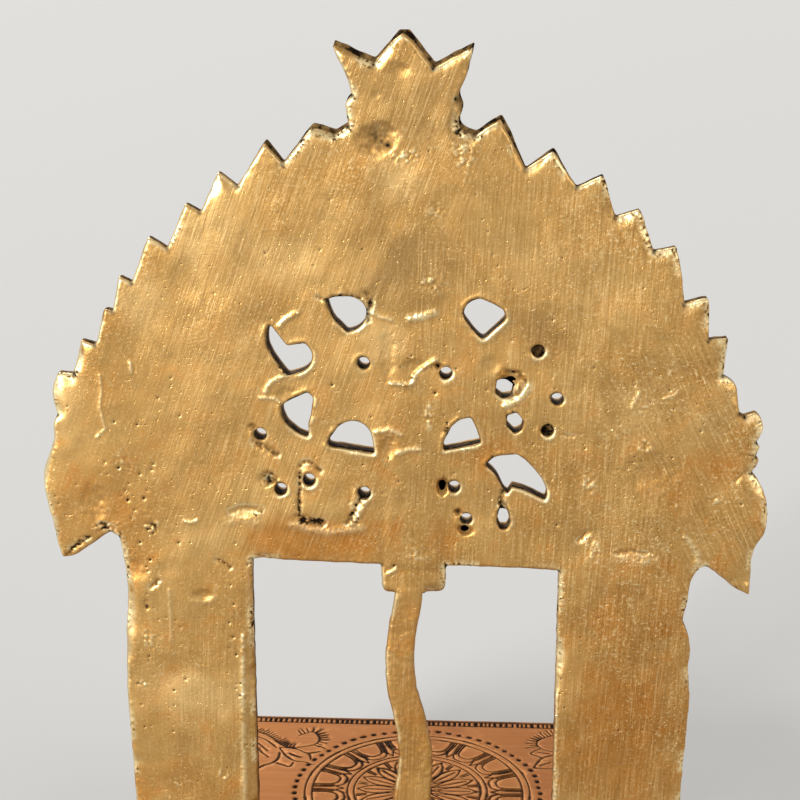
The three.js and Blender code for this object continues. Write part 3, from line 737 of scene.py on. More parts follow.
# Broad zones of tone, partly painted sheen and shade: sideways, height, half width, half height, pale above
# zero and orange below
zones = [
    (1.5, 250.8, 9, 8, 0.6), (-5, 262, 12, 9, -0.4), (0, 273, 24, 15, -0.4), (54.1, 238.3, 12, 14, 0.5),
    (34.1, 227.6, 13, 9, 0.5), (71.3, 217.5, 9, 10, 0.6), (4.6, 207.2, 10, 7, 0.7),
    (57.3, 148.1, 14, 7, 0.5), (93.5, 190.3, 6, 12, 0.8), (61.9, 99.5, 17, 10, 0.9),
    (12.2, 275.4, 6, 9, 0.1), (37.1, 217.9, 7, 7, -0.35), (-38.8, 206.4, 8, 7, -0.6),
    (-18.9, 174.7, 9, 6, -0.5), (25, 149, 24, 7, -1.2), (-11, 150, 5, 7, -0.6), (86, 158, 16, 18, -0.4),
    (60, 147, 18, 8, -0.2), (-67.4, 132.5, 24, 14, -0.4), (-62, 92, 24, 36, -1.0),
    (62.8, 70, 18, 11, -0.5), (-82, 168, 18, 16, -0.35), (-64, 190, 8, 9, 0.4), (-83, 181, 9, 8, 0.4),
    (62, 72, 16, 22, 0.25), (-62, 62, 20, 22, 0.25), (-4, 229, 19, 15, -0.7), (-33, 214, 12, 7, -0.5),
    (-24, 226, 22, 14, 0.2), (49.8, 205.2, 9, 7, 0.1),
]
# Hollows on the back: sideways, height, half width, half height, depth, darkening, partly painted shade
hollows = [
    (6.4, 261.2, 5.4, 5.0, 1.3, 0.6), (3.6, 259.6, 1.8, 1.3, 0.25, 0.5),
    (6.7, 272.8, 1.2, 1.2, 0.12, 0.0), (0.5, 279.3, 3.2, 2.2, 0.35, 0.05),
    (3.8, 176.4, 2.6, 3.6, 0.7, 0.12), (3.8, 203.0, 2.4, 9, 0.3, 0.1), (-3.0, 199.4, 3.4, 2.6, 0.6, 0.12),
    (-9.9, 199.9, 1.2, 1.0, 1.4, 1.0), (-24.0, 200.3, 3.0, 3.0, 0.35, 0.22),
    (-29.8, 195.3, 4.6, 3.9, 2.4, 0.25), (-30.4, 198.4, 3.6, 1.0, 0.5, 0.7),
    (41.6, 181.6, 1.3, 1.2, 0.9, 0.8), (37.5, 166.7, 2.5, 2.6, 1.2, 0.65),
    (-11.2, 164.9, 1.9, 2.8, 2.4, 1.0), (-15.8, 157.4, 1.4, 1.2, 1.6, 1.0),
    (-17.8, 152.3, 2.3, 1.8, 2.2, 1.0), (-28.5, 156.6, 1.9, 3.8, 1.5, 0.7),
    (31.6, 191.4, 3.0, 2.4, 0.4, 0.05), (-51.0, 150.8, 3.4, 3.0, 0.22, 0.08),
    (44.4, 157.0, 4.6, 2.2, 0.3, 0.14), (57.0, 131.2, 3.2, 2.0, 0.5, 0.16), (87, 159, 4.0, 6.0, 0.5, 0.0),
    (-69, 171, 8, 6, 0.45, 0.0), (78, 139, 6, 4, 0.4, 0.0), (-88, 201, 5, 7, 0.4, 0.0),
]
# Cuts: path, half width, depth, darkening, partly painted shade
gouges = [
    ([(22.9, 218.8), (20.0, 217.9)], 0.45, 0.6, 0.8),
    ([(19.4, 218.6), (15, 219.6), (11.3, 218.7)], 0.4, 0.4, 0.7),
    ([(9.9, 220.0), (8.7, 217.4), (9.4, 212.4)], 0.7, 0.8, 0.8),
    ([(41.1, 177.2), (38.1, 175.5), (34.9, 173.7)], 0.75, 0.8, 0.7),
    ([(28.4, 170.4), (27.5, 171.6), (25.6, 171.8), (22.8, 169.3)], 0.5, 0.5, 0.75),
    ([(28.5, 168.3), (28.8, 162.1), (28.9, 155.9)], 0.5, 0.9, 1.0),
    ([(29.2, 155.6), (25.9, 154.3), (22.4, 153.9)], 0.9, 1.1, 1.0),
    ([(11.4, 161.6), (13.2, 158.1), (15.4, 154.0)], 0.55, 0.8, 0.85),
    ([(-28.2, 163.8), (-27.6, 161.2), (-27.9, 158.5)], 0.7, 1.5, 0.9),
    ([(-44.3, 180.9), (-47.1, 180.4)], 0.4, 0.4, 0.3), ([(-91.9, 168.2), (-94.4, 170.8)], 0.35, 0.4, 0.4),
    ([(-49.4, 149.6), (-50.8, 150.7), (-52.1, 152.4)], 0.6, 0.6, 0.3),
    ([(-60.5, 146.3), (-64.8, 147.0), (-68.7, 146.4)], 0.5, 0.4, 0.5),
    ([(52.9, 142.1), (51.2, 141.2), (49.1, 139.6)], 0.55, 0.8, 0.7),
    ([(71.8, 133.1), (69.8, 135.6)], 0.55, 0.7, 0.6), ([(73.8, 128.9), (73.5, 126.8)], 0.45, 0.9, 0.95),
    ([(95.6, 142.6), (93.3, 145.4), (89.4, 148.0)], 0.7, 0.6, 1.0),
    ([(85.4, 152.3), (82.0, 151.2)], 0.6, 0.4, 0.9),
    ([(47.9, 156.7), (43.9, 157.9), (39.9, 157.4)], 0.8, 0.3, 0.4),
    ([(-14.3, 271.7), (-15.4, 268.6)], 0.5, 0.5, 0.3),
]
# Raised burrs and creases: path, half width, rise, brightness, partly a painted highlight
burrsAndHighlights = [
    ([(3.0, 194.8), (-2.5, 194.9), (-3.6, 197.2), (-5.9, 199.5), (-9.3, 201.9)], 0.5, 0.55, 0.9),
    ([(8.9, 214.9), (5.9, 213.6), (2.9, 212.8)], 0.6, 0.3, 0.5),
    ([(28.4, 214.4), (31.5, 212.7), (33.4, 210.5)], 0.6, 0.45, 0.7),
    ([(37.7, 192.0), (35.7, 194.9), (30.4, 197.3)], 0.6, 0.4, 0.7),
    ([(39, 190.3), (35.6, 190.2), (33.9, 189.4)], 0.5, 0.3, 0.6),
    ([(7.1, 181.0), (3.3, 181.6), (0.2, 180.5)], 0.7, 0.4, 0.6),
    ([(1.3, 174.8), (-1.7, 175.9), (-4.8, 176.1)], 0.7, 0.4, 0.7),
    ([(31.2, 153.2), (21.7, 151.2), (11.2, 152.4)], 1.1, 0.3, 0.35),
    ([(9.7, 161.0), (11.7, 157.4), (14.0, 153.5)], 0.8, 0.4, 0.45),
    ([(83.4, 196.1), (83.2, 191.3), (83.8, 187.6), (82.9, 181.2)], 0.35, 0.25, 0.42),
    ([(82.5, 180.9), (85.2, 178.2)], 0.42, 0.28, 0.6), ([(74.9, 199.8), (74.7, 196.9)], 0.35, 0.3, 0.9),
    ([(61.6, 153.7), (59.9, 153.2), (57.9, 153.9)], 0.45, 0.25, 0.6),
    ([(48.8, 153.4), (44.8, 154.6), (41.2, 153.6)], 1.6, 0.16, 0.22),
    ([(45.9, 118.7), (46.3, 98.3)], 0.5, 0.4, 1.0), ([(46.3, 100), (46.8, 60)], 0.9, 0.25, 0.5),
    ([(66.6, 132.6), (66.7, 117.1)], 0.5, 0.2, 0.3),
    ([(60.0, 129.4), (56.5, 129.0), (53.3, 130.6)], 0.9, 0.12, 0.14),
    ([(-79.3, 151.7), (-82.5, 147.3), (-83.0, 144.3)], 0.9, 0.35, 0.6),
    ([(-60.4, 145.1), (-65.5, 144.4), (-71.0, 144.9)], 1.6, 0.14, 0.24),
    ([(-62.8, 189.0), (-63.8, 191.3), (-64.8, 193.6)], 0.45, 0.2, 0.5),
    ([(-71.4, 191.7), (-74.6, 192.9)], 0.35, 0.2, 0.4),
    ([(-2.2, 213.1), (-4.9, 213.7), (-9.0, 214.9)], 0.9, 0.35, 0.8),
    ([(3.9, 138.8), (1.9, 140.1)], 0.6, 0.3, 0.6),
    ([(-33.6, 193.8), (-31.8, 190.8), (-28.4, 189.0)], 0.9, 0.5, 1.0),
    ([(-34.4, 194.4), (-32.4, 192.2)], 1.5, 0.1, 1.0),
]
# Rough patches: sideways, height, half width, half height, roughness, darkening, brightness
porous = [
    (0.6, 256.8, 5.2, 2.8, 0.16, 0.1, 0.9), (-16.4, 256.8, 4.2, 6.4, 0.13, 0.15, 0.8),
    (-9.1, 242.9, 3.0, 3.0, 0.1, 0.3, 0.4), (-7.6, 222.6, 5.4, 2.6, 0.12, 0.35, 0.7),
    (-3.8, 214.0, 4.6, 1.3, 0.1, 0.2, 0.9), (-7.4, 185.5, 1.2, 5.2, 0.13, 0.4, 0.7),
    (-12.5, 182.7, 1.4, 3.0, 0.16, 0.9, 0.5), (37.5, 166.7, 2.8, 2.9, 0.24, 0.8, 0.9),
    (25.9, 154.2, 4.2, 1.5, 0.26, 1.0, 0.6), (12.9, 157.2, 2.4, 4.4, 0.24, 0.9, 0.6),
    (-28.3, 156.4, 2.2, 4.2, 0.22, 0.8, 0.6), (-66.6, 177.9, 2.4, 2.2, 0.24, 0.5, 1.0),
    (-65.8, 188.4, 3.0, 2.0, 0.16, 0.3, 0.9), (-58.8, 181.5, 5.4, 2.0, 0.1, 0.25, 0.6),
    (-51.6, 166.6, 2.6, 4.6, 0.14, 0.2, 0.8), (-86.4, 162.8, 4.4, 2.0, 0.12, 0.2, 0.7),
    (-75.3, 161.1, 1.8, 1.2, 0.14, 0.3, 0.8), (-53.0, 147.4, 2.8, 3.6, 0.12, 0.15, 0.8),
    (-66.0, 144.6, 5.4, 1.2, 0.08, 0.15, 0.4), (70.9, 151.4, 2.6, 2.6, 0.26, 0.95, 1.0),
    (40.4, 156.2, 2.0, 1.5, 0.18, 0.95, 0.7), (90.6, 147.4, 3.2, 2.0, 0.26, 1.0, 0.8),
    (83.7, 151.6, 4.4, 2.2, 0.22, 1.0, 0.6), (80.6, 149.2, 1.8, 1.4, 0.2, 0.8, 1.0),
    (72.7, 116.8, 4.4, 3.2, 0.16, 0.4, 0.7), (75.3, 103.0, 2.2, 1.8, 0.2, 0.5, 0.8),
    (67.2, 70.9, 1.8, 1.8, 0.2, 0.5, 0.8), (52.7, 74.3, 2.2, 2.4, 0.2, 0.5, 0.8),
    (78.5, 170.0, 3.0, 5.0, 0.1, 0.3, 0.6), (7.9, 216.4, 1.5, 3.4, 0.22, 0.7, 1.0),
    (-97.2, 183.3, 1.6, 4.0, 0.14, 0.3, 1.0), (-85.6, 206.6, 2.2, 3.0, 0.12, 0.3, 0.8),
    (78.5, 143.0, 3.2, 2.0, 0.14, 0.4, 0.6), (-4, 146, 6, 4, 0.07, 0.1, 0.5),
]
# Single deep pits: sideways, height
pits = [
    (80.2, 182.8), (79.6, 169.3), (73.8, 167.4), (77.5, 159.6), (72.9, 160.2), (74.6, 146.9),
    (63.6, 147.0), (48.3, 128.4), (48.6, 118.1), (48.0, 112.7), (47.2, 99.9), (49.7, 122.7),
    (63.1, 104.6), (43.9, 140.7), (2.2, 141.3), (-81.8, 182.6), (-93.9, 161.8), (19.2, 194.3),
    (-9.1, 192.4), (-25.2, 174.1), (33.4, 198.9), (32.6, 197.5), (-29.2, 186.5), (-30.5, 187.2),
    (-12.5, 183.9), (-11.9, 181.6), (71.9, 141.7), (-43.4, 154.3),
]
# Groups of small pits: sideways, height, spread of each, count
pitGroups = [
    (84, 160, 9, 14, 26), (72, 118, 6, 22, 30), (47.5, 110, 1.5, 24, 14), (-22, 182, 16, 16, 22),
    (20, 176, 22, 22, 20), (-70, 178, 18, 20, 26), (-62, 95, 14, 32, 14), (0, 235, 38, 24, 22),
]

# How far the crest's edge lies further out at the front than at the back, for points of the outline.
def crestFlare(points):
    x, z, start, end = archDims["flare"]
    share = ease(points[:, 1], start, end)
    top = archOutline[0][:, 1].max() - 0.15
    return np.column_stack([x * share, np.clip(z * share, 0, np.maximum(0, top - points[:, 1]))])

def inwardCorners(loop):
    corners, turn = cornersOf(loop)
    return corners[turn * np.sign(areaOf(loop)) < -castEdge["sharpTurn"]]

notches = inwardCorners(archOutline[0])

# Filed waves of a few sizes, by their cells.
def fileWaves(u, v):
    return sum(rise * smoothNoise(u, v, cell, seed) for cell, rise, seed in archDims["waves"])

# Fine and finer grit from -1 to 1, which breaks up marks and edges.
def gritAt(u, v):
    return smoothNoise(u, v, 0.85, 26), smoothNoise(u, v, 0.5, 27)

# How far a point lies from an oval's middle, as a share of its half sizes.
def ovalAway(u, v, x, z, halfWide, halfHigh):
    return np.hypot((u - x) / halfWide, (v - z) / halfHigh)

# Distance from a mark's path, in half widths of the mark.
def markDistance(u, v, path, width, reach=4):
    return pathDistance(u, v, curveThrough(path), reach * width) / width

# Places and sizes of all pits: those listed, and the groups spread by a seeded bell curve.
def scatterPits():
    rng = np.random.default_rng(8)
    spots = [np.array(pits)]
    sizes = [rng.uniform(0.34, 0.52, len(pits))]
    for x, z, wide, high, count in pitGroups:
        spots.append(np.column_stack([rng.normal(x, wide, count), rng.normal(z, high, count)]))
        sizes.append(rng.uniform(0.18, 0.34, count))
    return np.vstack(spots), np.concatenate(sizes)

pitSpots, pitSizes = scatterPits()

# Distance to the nearest mark, as a share of its own size: finer triangles go where it is small.
def markAway(u, v):
    away = np.full(len(u), 9.0)
    for x, z, wide, high, *_ in hollows + porous:
        away = np.minimum(away, ovalAway(u, v, x, z, wide + 0.5, high + 0.5))
    for path, width, *_ in gouges + burrsAndHighlights:
        away = np.minimum(away, markDistance(u, v, path, width, 3) / 2.2)
    for (x, z), size in zip(pitSpots, pitSizes):
        near = np.flatnonzero((np.abs(u - x) < 1.6) & (np.abs(v - z) < 1.6))
        away[near] = np.minimum(away[near], np.hypot(u[near] - x, v[near] - z) / (2 * size + 0.2))
    return away

# The broad tone at each point, partly painted sheen and shade: the zones as soft ovals with uneven edges.
def shadeOf(u, v):
    shade = 0.15 * smoothNoise(u, v, 13, 36)
    for x, z, halfWide, halfHigh, pale in zones:
        away = ovalAway(u, v, x, z, halfWide, halfHigh) + 0.25 * smoothNoise(u, v, 5, 37)
        shade += pale * (1 - ease(away, 0.2, 1.3))
    return np.clip(shade, -1, 1)

# The outer edge: a filed bevel of changing width with a painted highlight on edges that face +X, toward the key
# light, whose side is 1, then stretches of gritty wear, darkening in the notches and the thinned inner edge of
# the left pillar. No bevel runs where the stem joins the boss.
def edgeWork(u, v, outerGap, side):
    d = archDims
    height, soot, burr = work = np.zeros((3, len(u)))
    grit, fineGrit = gritAt(u, v)
    wide = d["bevel"][0] + d["bevel"][1] * ease(smoothNoise(u, v, 9, 33), 0.05, 0.75)
    for x, z, halfWide, halfHigh, further in d["broad"]:
        wide += further * (1 - ease(ovalAway(u, v, x, z, halfWide, halfHigh), 0.7, 1.2))
    joined = ease(np.minimum(u - stemJoint.min(), stemJoint.max() - u), -0.8, 0.3)
    joined *= 1 - ease(v, stemTop + 2, stemTop + 4)
    gap = np.maximum(outerGap, 6 * joined)
    slant = np.clip(1 - gap / wide, 0, 1)
    height -= d["bevelDrop"] * wide * slant ** 1.3
    height -= 0.1 * (1 - ease(gap, 0.3, 3.5)) * (1 + grit)
    # Painted highlight on bevels that face +X, toward the key light.
    shown = (0.5 + 0.4 * ease(v, 140, 155)) * ease(smoothNoise(u, v, 3.1, 34), -0.7, 0.0)
    burr += shown * np.clip(side, 0, 1) * ease(slant, 0.05, 0.5)
    rightTeeth = ease(-u, 52, 60) * ease(v, 160, 168)
    rubbed = (1 - ease(gap, 0.7, 2.4)) * ease(smoothNoise(u, v, 7, 35) + 0.45 * rightTeeth, 0.0, 0.35)
    height += 0.1 * rubbed * (grit + fineGrit)
    burr += 0.75 * rubbed * ease(-fineGrit, -0.5, 0.1)
    soot += 0.95 * rubbed * ease(fineGrit, 0.4, 0.75)
    for x, z in notches:
        soot += 0.9 * bell(np.hypot(u - x, v - z), 0.75)
    height -= 0.8 * np.clip((46.2 - u) / 3.4, 0, 1.2) * (u > 0) * (1 - ease(v, 110, 121))
    return work

# The holes' rims: a broken lip with a painted highlight where the rim faces left and up in the back view,
# toward the key light, whose lit is 1, and painted shade round the rim that reaches further out and darker
# across from there.
def holeWork(u, v, holeGap, lit, broken):
    unlit = np.clip(-lit, 0, 1)
    lip = bell(holeGap - 0.9, 0.45) * broken
    # Painted shade round each rim, wider and darker where the rim faces away from the key light.
    shadow = bell(holeGap, 0.4 + 0.35 * unlit) * ease(smoothNoise(u, v, 1.7, 22), -0.6, 0.3)
    return np.array([0.2 * lip, (0.5 + 0.5 * unlit) * shadow, 0.6 * lip * np.clip(lit, 0, 1)])

# Hollows as soft bowls, cuts and burrs as bell curves across their paths, rough patches of grit, and pits.
# Darkening and brightness go with the marks that make them: the dark of hollows, cuts and pits is partly
# painted shade, and the bright of burrs and of the pits' lower right rims is partly painted highlight.
def handMarks(u, v, broken):
    height, soot, burr = work = np.zeros((3, len(u)))
    grit, fineGrit = gritAt(u, v)
    for x, z, halfWide, halfHigh, depth, dark in hollows:
        away = ovalAway(u, v, x, z, halfWide, halfHigh) + 0.14 * smoothNoise(u, v, 1.6, 23)
        height -= depth * (1 - ease(away, 0.25, 1.15))
        soot += dark * (1 - ease(away, 0.1, 0.95)) * (1 + 0.5 * grit)
    for path, width, depth, dark in gouges:
        away = markDistance(u, v, path, width) + 0.45 * grit
        height -= depth * bell(away, 1) * (0.8 + 0.4 * fineGrit)
        soot += dark * bell(away, 0.85) * ease(fineGrit, -0.9, 0.1)
        burr += 0.55 * bell(away - 1.5, 0.45) * broken
    for path, width, rise, bright in burrsAndHighlights:
        away = markDistance(u, v, path, width) + 0.3 * grit
        height += rise * bell(away, 1) * (0.85 + 0.3 * fineGrit)
        burr += bright * bell(away, 0.9) * ease(grit, -0.9, 0.0)
    for x, z, halfWide, halfHigh, rough, dark, bright in porous:
        away = ovalAway(u, v, x, z, halfWide, halfHigh) + 0.3 * smoothNoise(u, v, 2.2, 28)
        there = 1 - ease(away, 0.35, 1.1)
        height += rough * there * (grit + 0.8 * fineGrit)
        soot += dark * there * ease(-grit - 0.6 * fineGrit, 0.35 - 0.4 * dark, 0.95 - 0.4 * dark)
        burr += bright * there * ease(grit + 0.6 * fineGrit, 0.15, 0.8)
    for (x, z), size in zip(pitSpots, pitSizes):
        near = np.flatnonzero((np.abs(u - x) < 2) & (np.abs(v - z) < 2))
        away = np.hypot(u[near] - x, v[near] - z) / size
        height[near] -= size * bell(away, 1)
        soot[near] += 1 - ease(away, 0.5, 1.15)
        # Painted highlight on the lower right inner rim of each pit, which faces the key light in the back
        # view.
        lower = ease((x - u[near]) + (z - v[near]), 0, size)
        burr[near] += 0.3 * lower * bell(away - 1.35, 0.35)
    return work

# The back face: filed waves, then the edge, the raised boss and spine, the holes' rims and the marks.
def archBackFace(u, v, holeGap, outerGap, side, lit):
    broken = ease(smoothNoise(u, v, 2.6, 21), -0.3, 0.5)
    work = edgeWork(u, v, outerGap, side) + holeWork(u, v, holeGap, lit, broken) + handMarks(u, v, broken)
    height = fileWaves(u, v) + work[0]
    for x0, x1, z0, z1 in archDims["raised"]:
        inside = np.minimum(np.minimum(u - x0, x1 - u), v - z0)
        up = archDims["bossRise"] * ease(inside, -1.2, 1.2) * (1 - ease(v, z1 - 8, z1))
        height += up * (u > x0 - 3) * (v < z1)
    return height, np.clip(work[1], 0, 1), np.clip(work[2], 0, 1)

blindDims = {"radius": 2.1, "rows": 8, "around": 24, "skirt": 0.7}

# The rough cone at the bottom of a drilled hole that stops inside the casting: rings that shrink and sink,
# with five lobes that turn from ring to ring.
def drillEnd(x, z):
    d = blindDims
    share = np.linspace(1, 0.1, d["rows"])[:, None]
    angle = turnAngles(d["around"])
    deep = plate["seam"] + 0.5 - 0.45 * (1 - share) + 0.12 * np.sin(5 * angle + 9 * share)
    radius = d["radius"] * share
    rings = np.stack([x + radius * np.cos(angle), deep, z + radius * np.sin(angle)], axis=2)
    rings = np.concatenate([rings[:1] - [0, d["skirt"], 0], rings])
    return ringSurface(rings, [[x, plate["seam"] - 0.15, z]], [[x, plate["seam"] + 0.05, z]])

# Points in place from a slab on the arch, whose worked face looks along the given sign of Y.
def archPoints(info, face, sign):
    height = np.maximum(info["v"], seatTop + plate["clear"])
    return np.column_stack([info["u"], face + sign * info["w"], height])

# Darkening on the walls of an arch slab, by how far in a point lies: holes dark, the outer edge a little less.
def wallDarkening(info, least, spread, depth):
    dark = np.where(info["hole"], 1.0, least + spread * smoothNoise(info["u"], info["v"], 3.7, 31))
    return dark * ease(info["wall"], 0, depth)

def archLoops(outlines):
    d = archDims
    return [castOutline(loop, d["step"], d["sharp"], wornBoxes=d["worn"]) for loop in outlines]

def makeArchBack():
    d = archDims
    loops = archLoops([*archOutline, *blindHoles])
    worn, start, end = d["tip"]
    loops[0][:, 1] -= worn * ease(loops[0][:, 1], start, end)
    kept = {}

    def face(u, v, edge):
        spots = np.column_stack([u, v])
        side = edgeFacing(u, v, loops[:1], 4.8)[:, 0]
        kept["lit"] = edgeFacing(u, v, loops, 2.2) @ [0.6, 0.8]
        gaps = edgeDistance(spots, loops[1:], 4), edgeDistance(spots, loops[:1], 5)
        height, kept["soot"], kept["burr"] = archBackFace(u, v, *gaps, side, kept["lit"])
        return height

    def marked(u, v):
        return (markAway(u, v) < 1) | (edgeDistance(np.column_stack([u, v]), loops, 3) < 1.5)

    fine = d["fine"], marked
    info = slabParts(loops, d["spacing"], face, -plate["split"], d["rounding"], fine=fine, lean=crestFlare)
    u, v, edge, count = info["u"], info["v"], info["edge"], len(info["u"])
    onFace = info["wall"] == 0
    soot = np.maximum(padded(kept["soot"], count), wallDarkening(info, 0.8, 0.15, 0.3))
    soot = np.maximum(soot, bell(edge, 0.5) * onFace * info["hole"] * 0.35)
    # Painted highlight on rims that face the key light, left and up in the back view.
    glint = ease(smoothNoise(u, v, 4.3, 32), -0.6, 0.1) * ease(padded(kept["lit"], count), -0.2, 0.7)
    glint *= ~((np.abs(u - stemJoint.mean()) < np.ptp(stemJoint) / 2) & (v < stemTop + 2))
    burr = np.maximum(padded(kept["burr"], count), glint * 0.9 * bell(edge - 0.45, 0.35) * onFace)
    drillEnds = [drillEnd(*loop.mean(0)) for loop in loops[len(archOutline):]]
    points, faces = joinParts([(archPoints(info, plate["back"], 1), info["faces"]), *drillEnds])
    endDarkening = np.random.default_rng(9).uniform(0.8, 1, len(points) - count)
    addPiece("arch_back", points, faces, "arch", "filed_brass", ["arch_plate"],
             soot=np.concatenate([soot, endDarkening]), burr=padded(burr, len(points)),
             shade=shadeOf(points[:, 0], points[:, 2]))
    print("arch back:", len(faces), "triangles")

makeArchBack()

frontDims = {
    "spacing": 0.7,
    "rounding": 0.45,
    # Packed terraces: depth at which the outline is taken, rise, smallest outline that counts
    "terraces": [(0.75, 1.5, 40), (1.95, 0.95, 0)],
    "slope": 0.9,
    "centre": seatTop + 120,  # of the round bands
    "innerBand": 63,
    "outerBand": 84.5,
    "bandHalf": 1.8,
    "bandEnd": 1.5,  # radians from the top where the bands stop
    "bead": 3.3,
    "ropePitch": 2.6,
    "collar": 1.7,  # rise of the rims of drilled holes
    "ledge": 0.9,  # rise of the rims of the other holes
    "vineWaves": 15,  # half waves of the vine between the bands
    "vineSwing": 5.2,
    "leafCount": 150,
    "leafLength": 6.2,
    "goldenAngle": 2.39996,
}

# Points at a radius and an angle from upright round the bands' centre.
def roundCentre(radius, angle):
    return np.column_stack([radius * np.sin(angle), frontDims["centre"] + radius * np.cos(angle)])

# A spiral line from an outer to an inner radius.
def spiral(x, y, outer, inner, start, turns):
    t = np.linspace(0, 1, 40)
    return polar(outer + (inner - outer) * t, start + 2 * np.pi * turns * t, (x, y))

# Flame ribs: from the outer band to each tip of the casting's edge, one straight and two that lean to it.
def flameRibs():
    d = frontDims
    start = d["outerBand"] + 3.4
    corners, turn = cornersOf(archOutline[0])
    if areaOf(corners) < 0:
        turn = -turn
    radius = np.hypot(*(corners - [0, d["centre"]]).T)
    tips = corners[(turn > 0.9) & (radius > d["outerBand"] + 5) & (corners[:, 1] > seatTop + 172)]
    t = np.linspace(0, 1, 9)
    ribs = []
    for x, z in tips[np.abs(tips[:, 0]) >= 20]:
        angle, reach = np.arctan2(x, z - d["centre"]), np.hypot(x, z - d["centre"])
        for lean, end in ((0.0, 0.94), (0.035, 0.6), (-0.035, 0.6)):
            turned = angle + lean * (1 - t * 0.6) + 0.02 * np.sin(np.pi * t)
            ribs.append(roundCentre(start + (reach - start) * end * t, turned))
    return ribs

# The vine between the bands: a sine wave round the centre with a curl in each half wave.
def vineStrokes():
    d = frontDims
    middle = (d["innerBand"] + d["outerBand"]) / 2
    t = np.linspace(-d["bandEnd"], d["bandEnd"], 500)
    phase = (t + d["bandEnd"]) / (2 * d["bandEnd"]) * np.pi * d["vineWaves"]
    strokes = [roundCentre(middle + d["vineSwing"] * np.sin(phase), t)]
    for k in range(d["vineWaves"]):
        side = -1 if k % 2 else 1
        angle = -d["bandEnd"] + (k + 0.5) * 2 * d["bandEnd"] / d["vineWaves"]
        x, z = roundCentre(np.array([middle - 2.2 * side]), angle)[0]
        strokes.append(spiral(x, z, 4.3, 1.2, np.pi / 2 - angle - side * np.pi / 2, 1.2))
    return strokes

# The tree's trunk up the middle.
treeTrunk = [(-2.3, 142), (-1, 160), (1, 180), (-0.5, 200), (0, 222)]
# Its branches on each side: height at the trunk, reach outwards, rise
treeBranches = [(150, 44, 12), (163, 46, 14), (177, 25, 9), (189, 47, 17), (205, 38, 14)]

def branchStrokes():
    bend = [(0, 0), (0.35, 0.15), (0.7, 0.6), (1, 1)]
    return [curveThrough([(side * out * a, z + up * b) for a, b in bend])
            for side in (-1, 1) for z, out, up in treeBranches]

# Wing ornament: a scroll, seven feathers that sweep out and down from it and four short ones above it.
def wingStrokes():
    strokes = []
    for side in (-1, 1):
        x = side * 82.5
        strokes.append(spiral(x, seatTop + 138, 9.5, 1.5, np.pi / 2, side * -1.6))
        for k in range(7):
            start = (x + side * (-9 + 1.5 * k), seatTop + 127 - 1.4 * k)
            end = (x + side * (-12 + 4.2 * k), seatTop + 105 + 0.6 * (k - 3) ** 2)
            middle = ((start[0] + end[0]) / 2 + side * 2, (start[1] + end[1]) / 2)
            strokes.append(curveThrough([start, middle, end]))
        for k in range(4):
            foot = np.array([x + side * (-4 + 2 * k), seatTop + 149 + k])
            strokes.append(curveThrough([foot, foot + [side * 3, 5], foot + [side * 2, 11]]))
    return strokes

# Leaves set by the golden angle over the canopy, clear of holes and trunk: each is a pointed oval that hangs
# outwards, domed, with a sunk midrib.
def leafRise(u, v, holes):
    d = frontDims
    k = np.arange(d["leafCount"])
    spread, turn = np.sqrt((k + 0.5) / d["leafCount"]), d["goldenAngle"] * k
    places = np.column_stack([50 * spread * np.cos(turn), seatTop + 142 + 43 * spread * np.sin(turn)])
    clear = edgeDistance(places, holes, 9)
    clear[insideOf(places, holes)] = 0
    rise = np.zeros(len(u))
    for (x, z), gap in zip(places, clear):
        if gap < 2.6 or abs(x) < 3.2:
            continue
        length = min(d["leafLength"], gap * 1.5)
        angle = np.arctan2(z - seatTop - 105, x)
        near = np.flatnonzero((np.abs(u - x) < length) & (np.abs(v - z) < length))
        right, up = u[near] - x, v[near] - z
        along = (right * np.cos(angle) + up * np.sin(angle)) / length + 0.5
        across = np.abs(up * np.cos(angle) - right * np.sin(angle)) / length
        half = 0.95 * np.sqrt(np.clip(along, 0, 1)) * np.clip(1 - along, 0, 1) ** 0.8
        dome = np.sqrt(np.clip(1 - (across / np.maximum(half, 1e-3)) ** 2, 0, 1)) * (half > 0.02)
        rise[near] = np.maximum(rise[near], 0.75 * dome - 0.25 * dome * bell(across, 0.05))
    return rise

# The two bands: beads on the outer one and a rope, cosine ridges that run aslant, on the inner one.
def bandRise(u, v):
    d = frontDims
    radius, angle = np.hypot(u, v - d["centre"]), np.arctan2(u, v - d["centre"])
    onBead, onRope = ((np.abs(radius - middle) < d["bandHalf"] + 0.3) & (np.abs(angle) < d["bandEnd"])
                      for middle in (d["outerBand"], d["innerBand"]))
    run = angle * d["outerBand"] / d["bead"]
    gap = (run - np.round(run)) * d["bead"]
    bead = ridge(np.hypot(gap, radius - d["outerBand"]), 1.5, 0.85) - 0.25
    out = radius - d["innerBand"]
    rope = 0.35 * np.cos(2 * np.pi * (angle * d["innerBand"] + out) / d["ropePitch"])
    return bead * onBead + rope * ease(-np.abs(out), -1.8, -1) * onRope

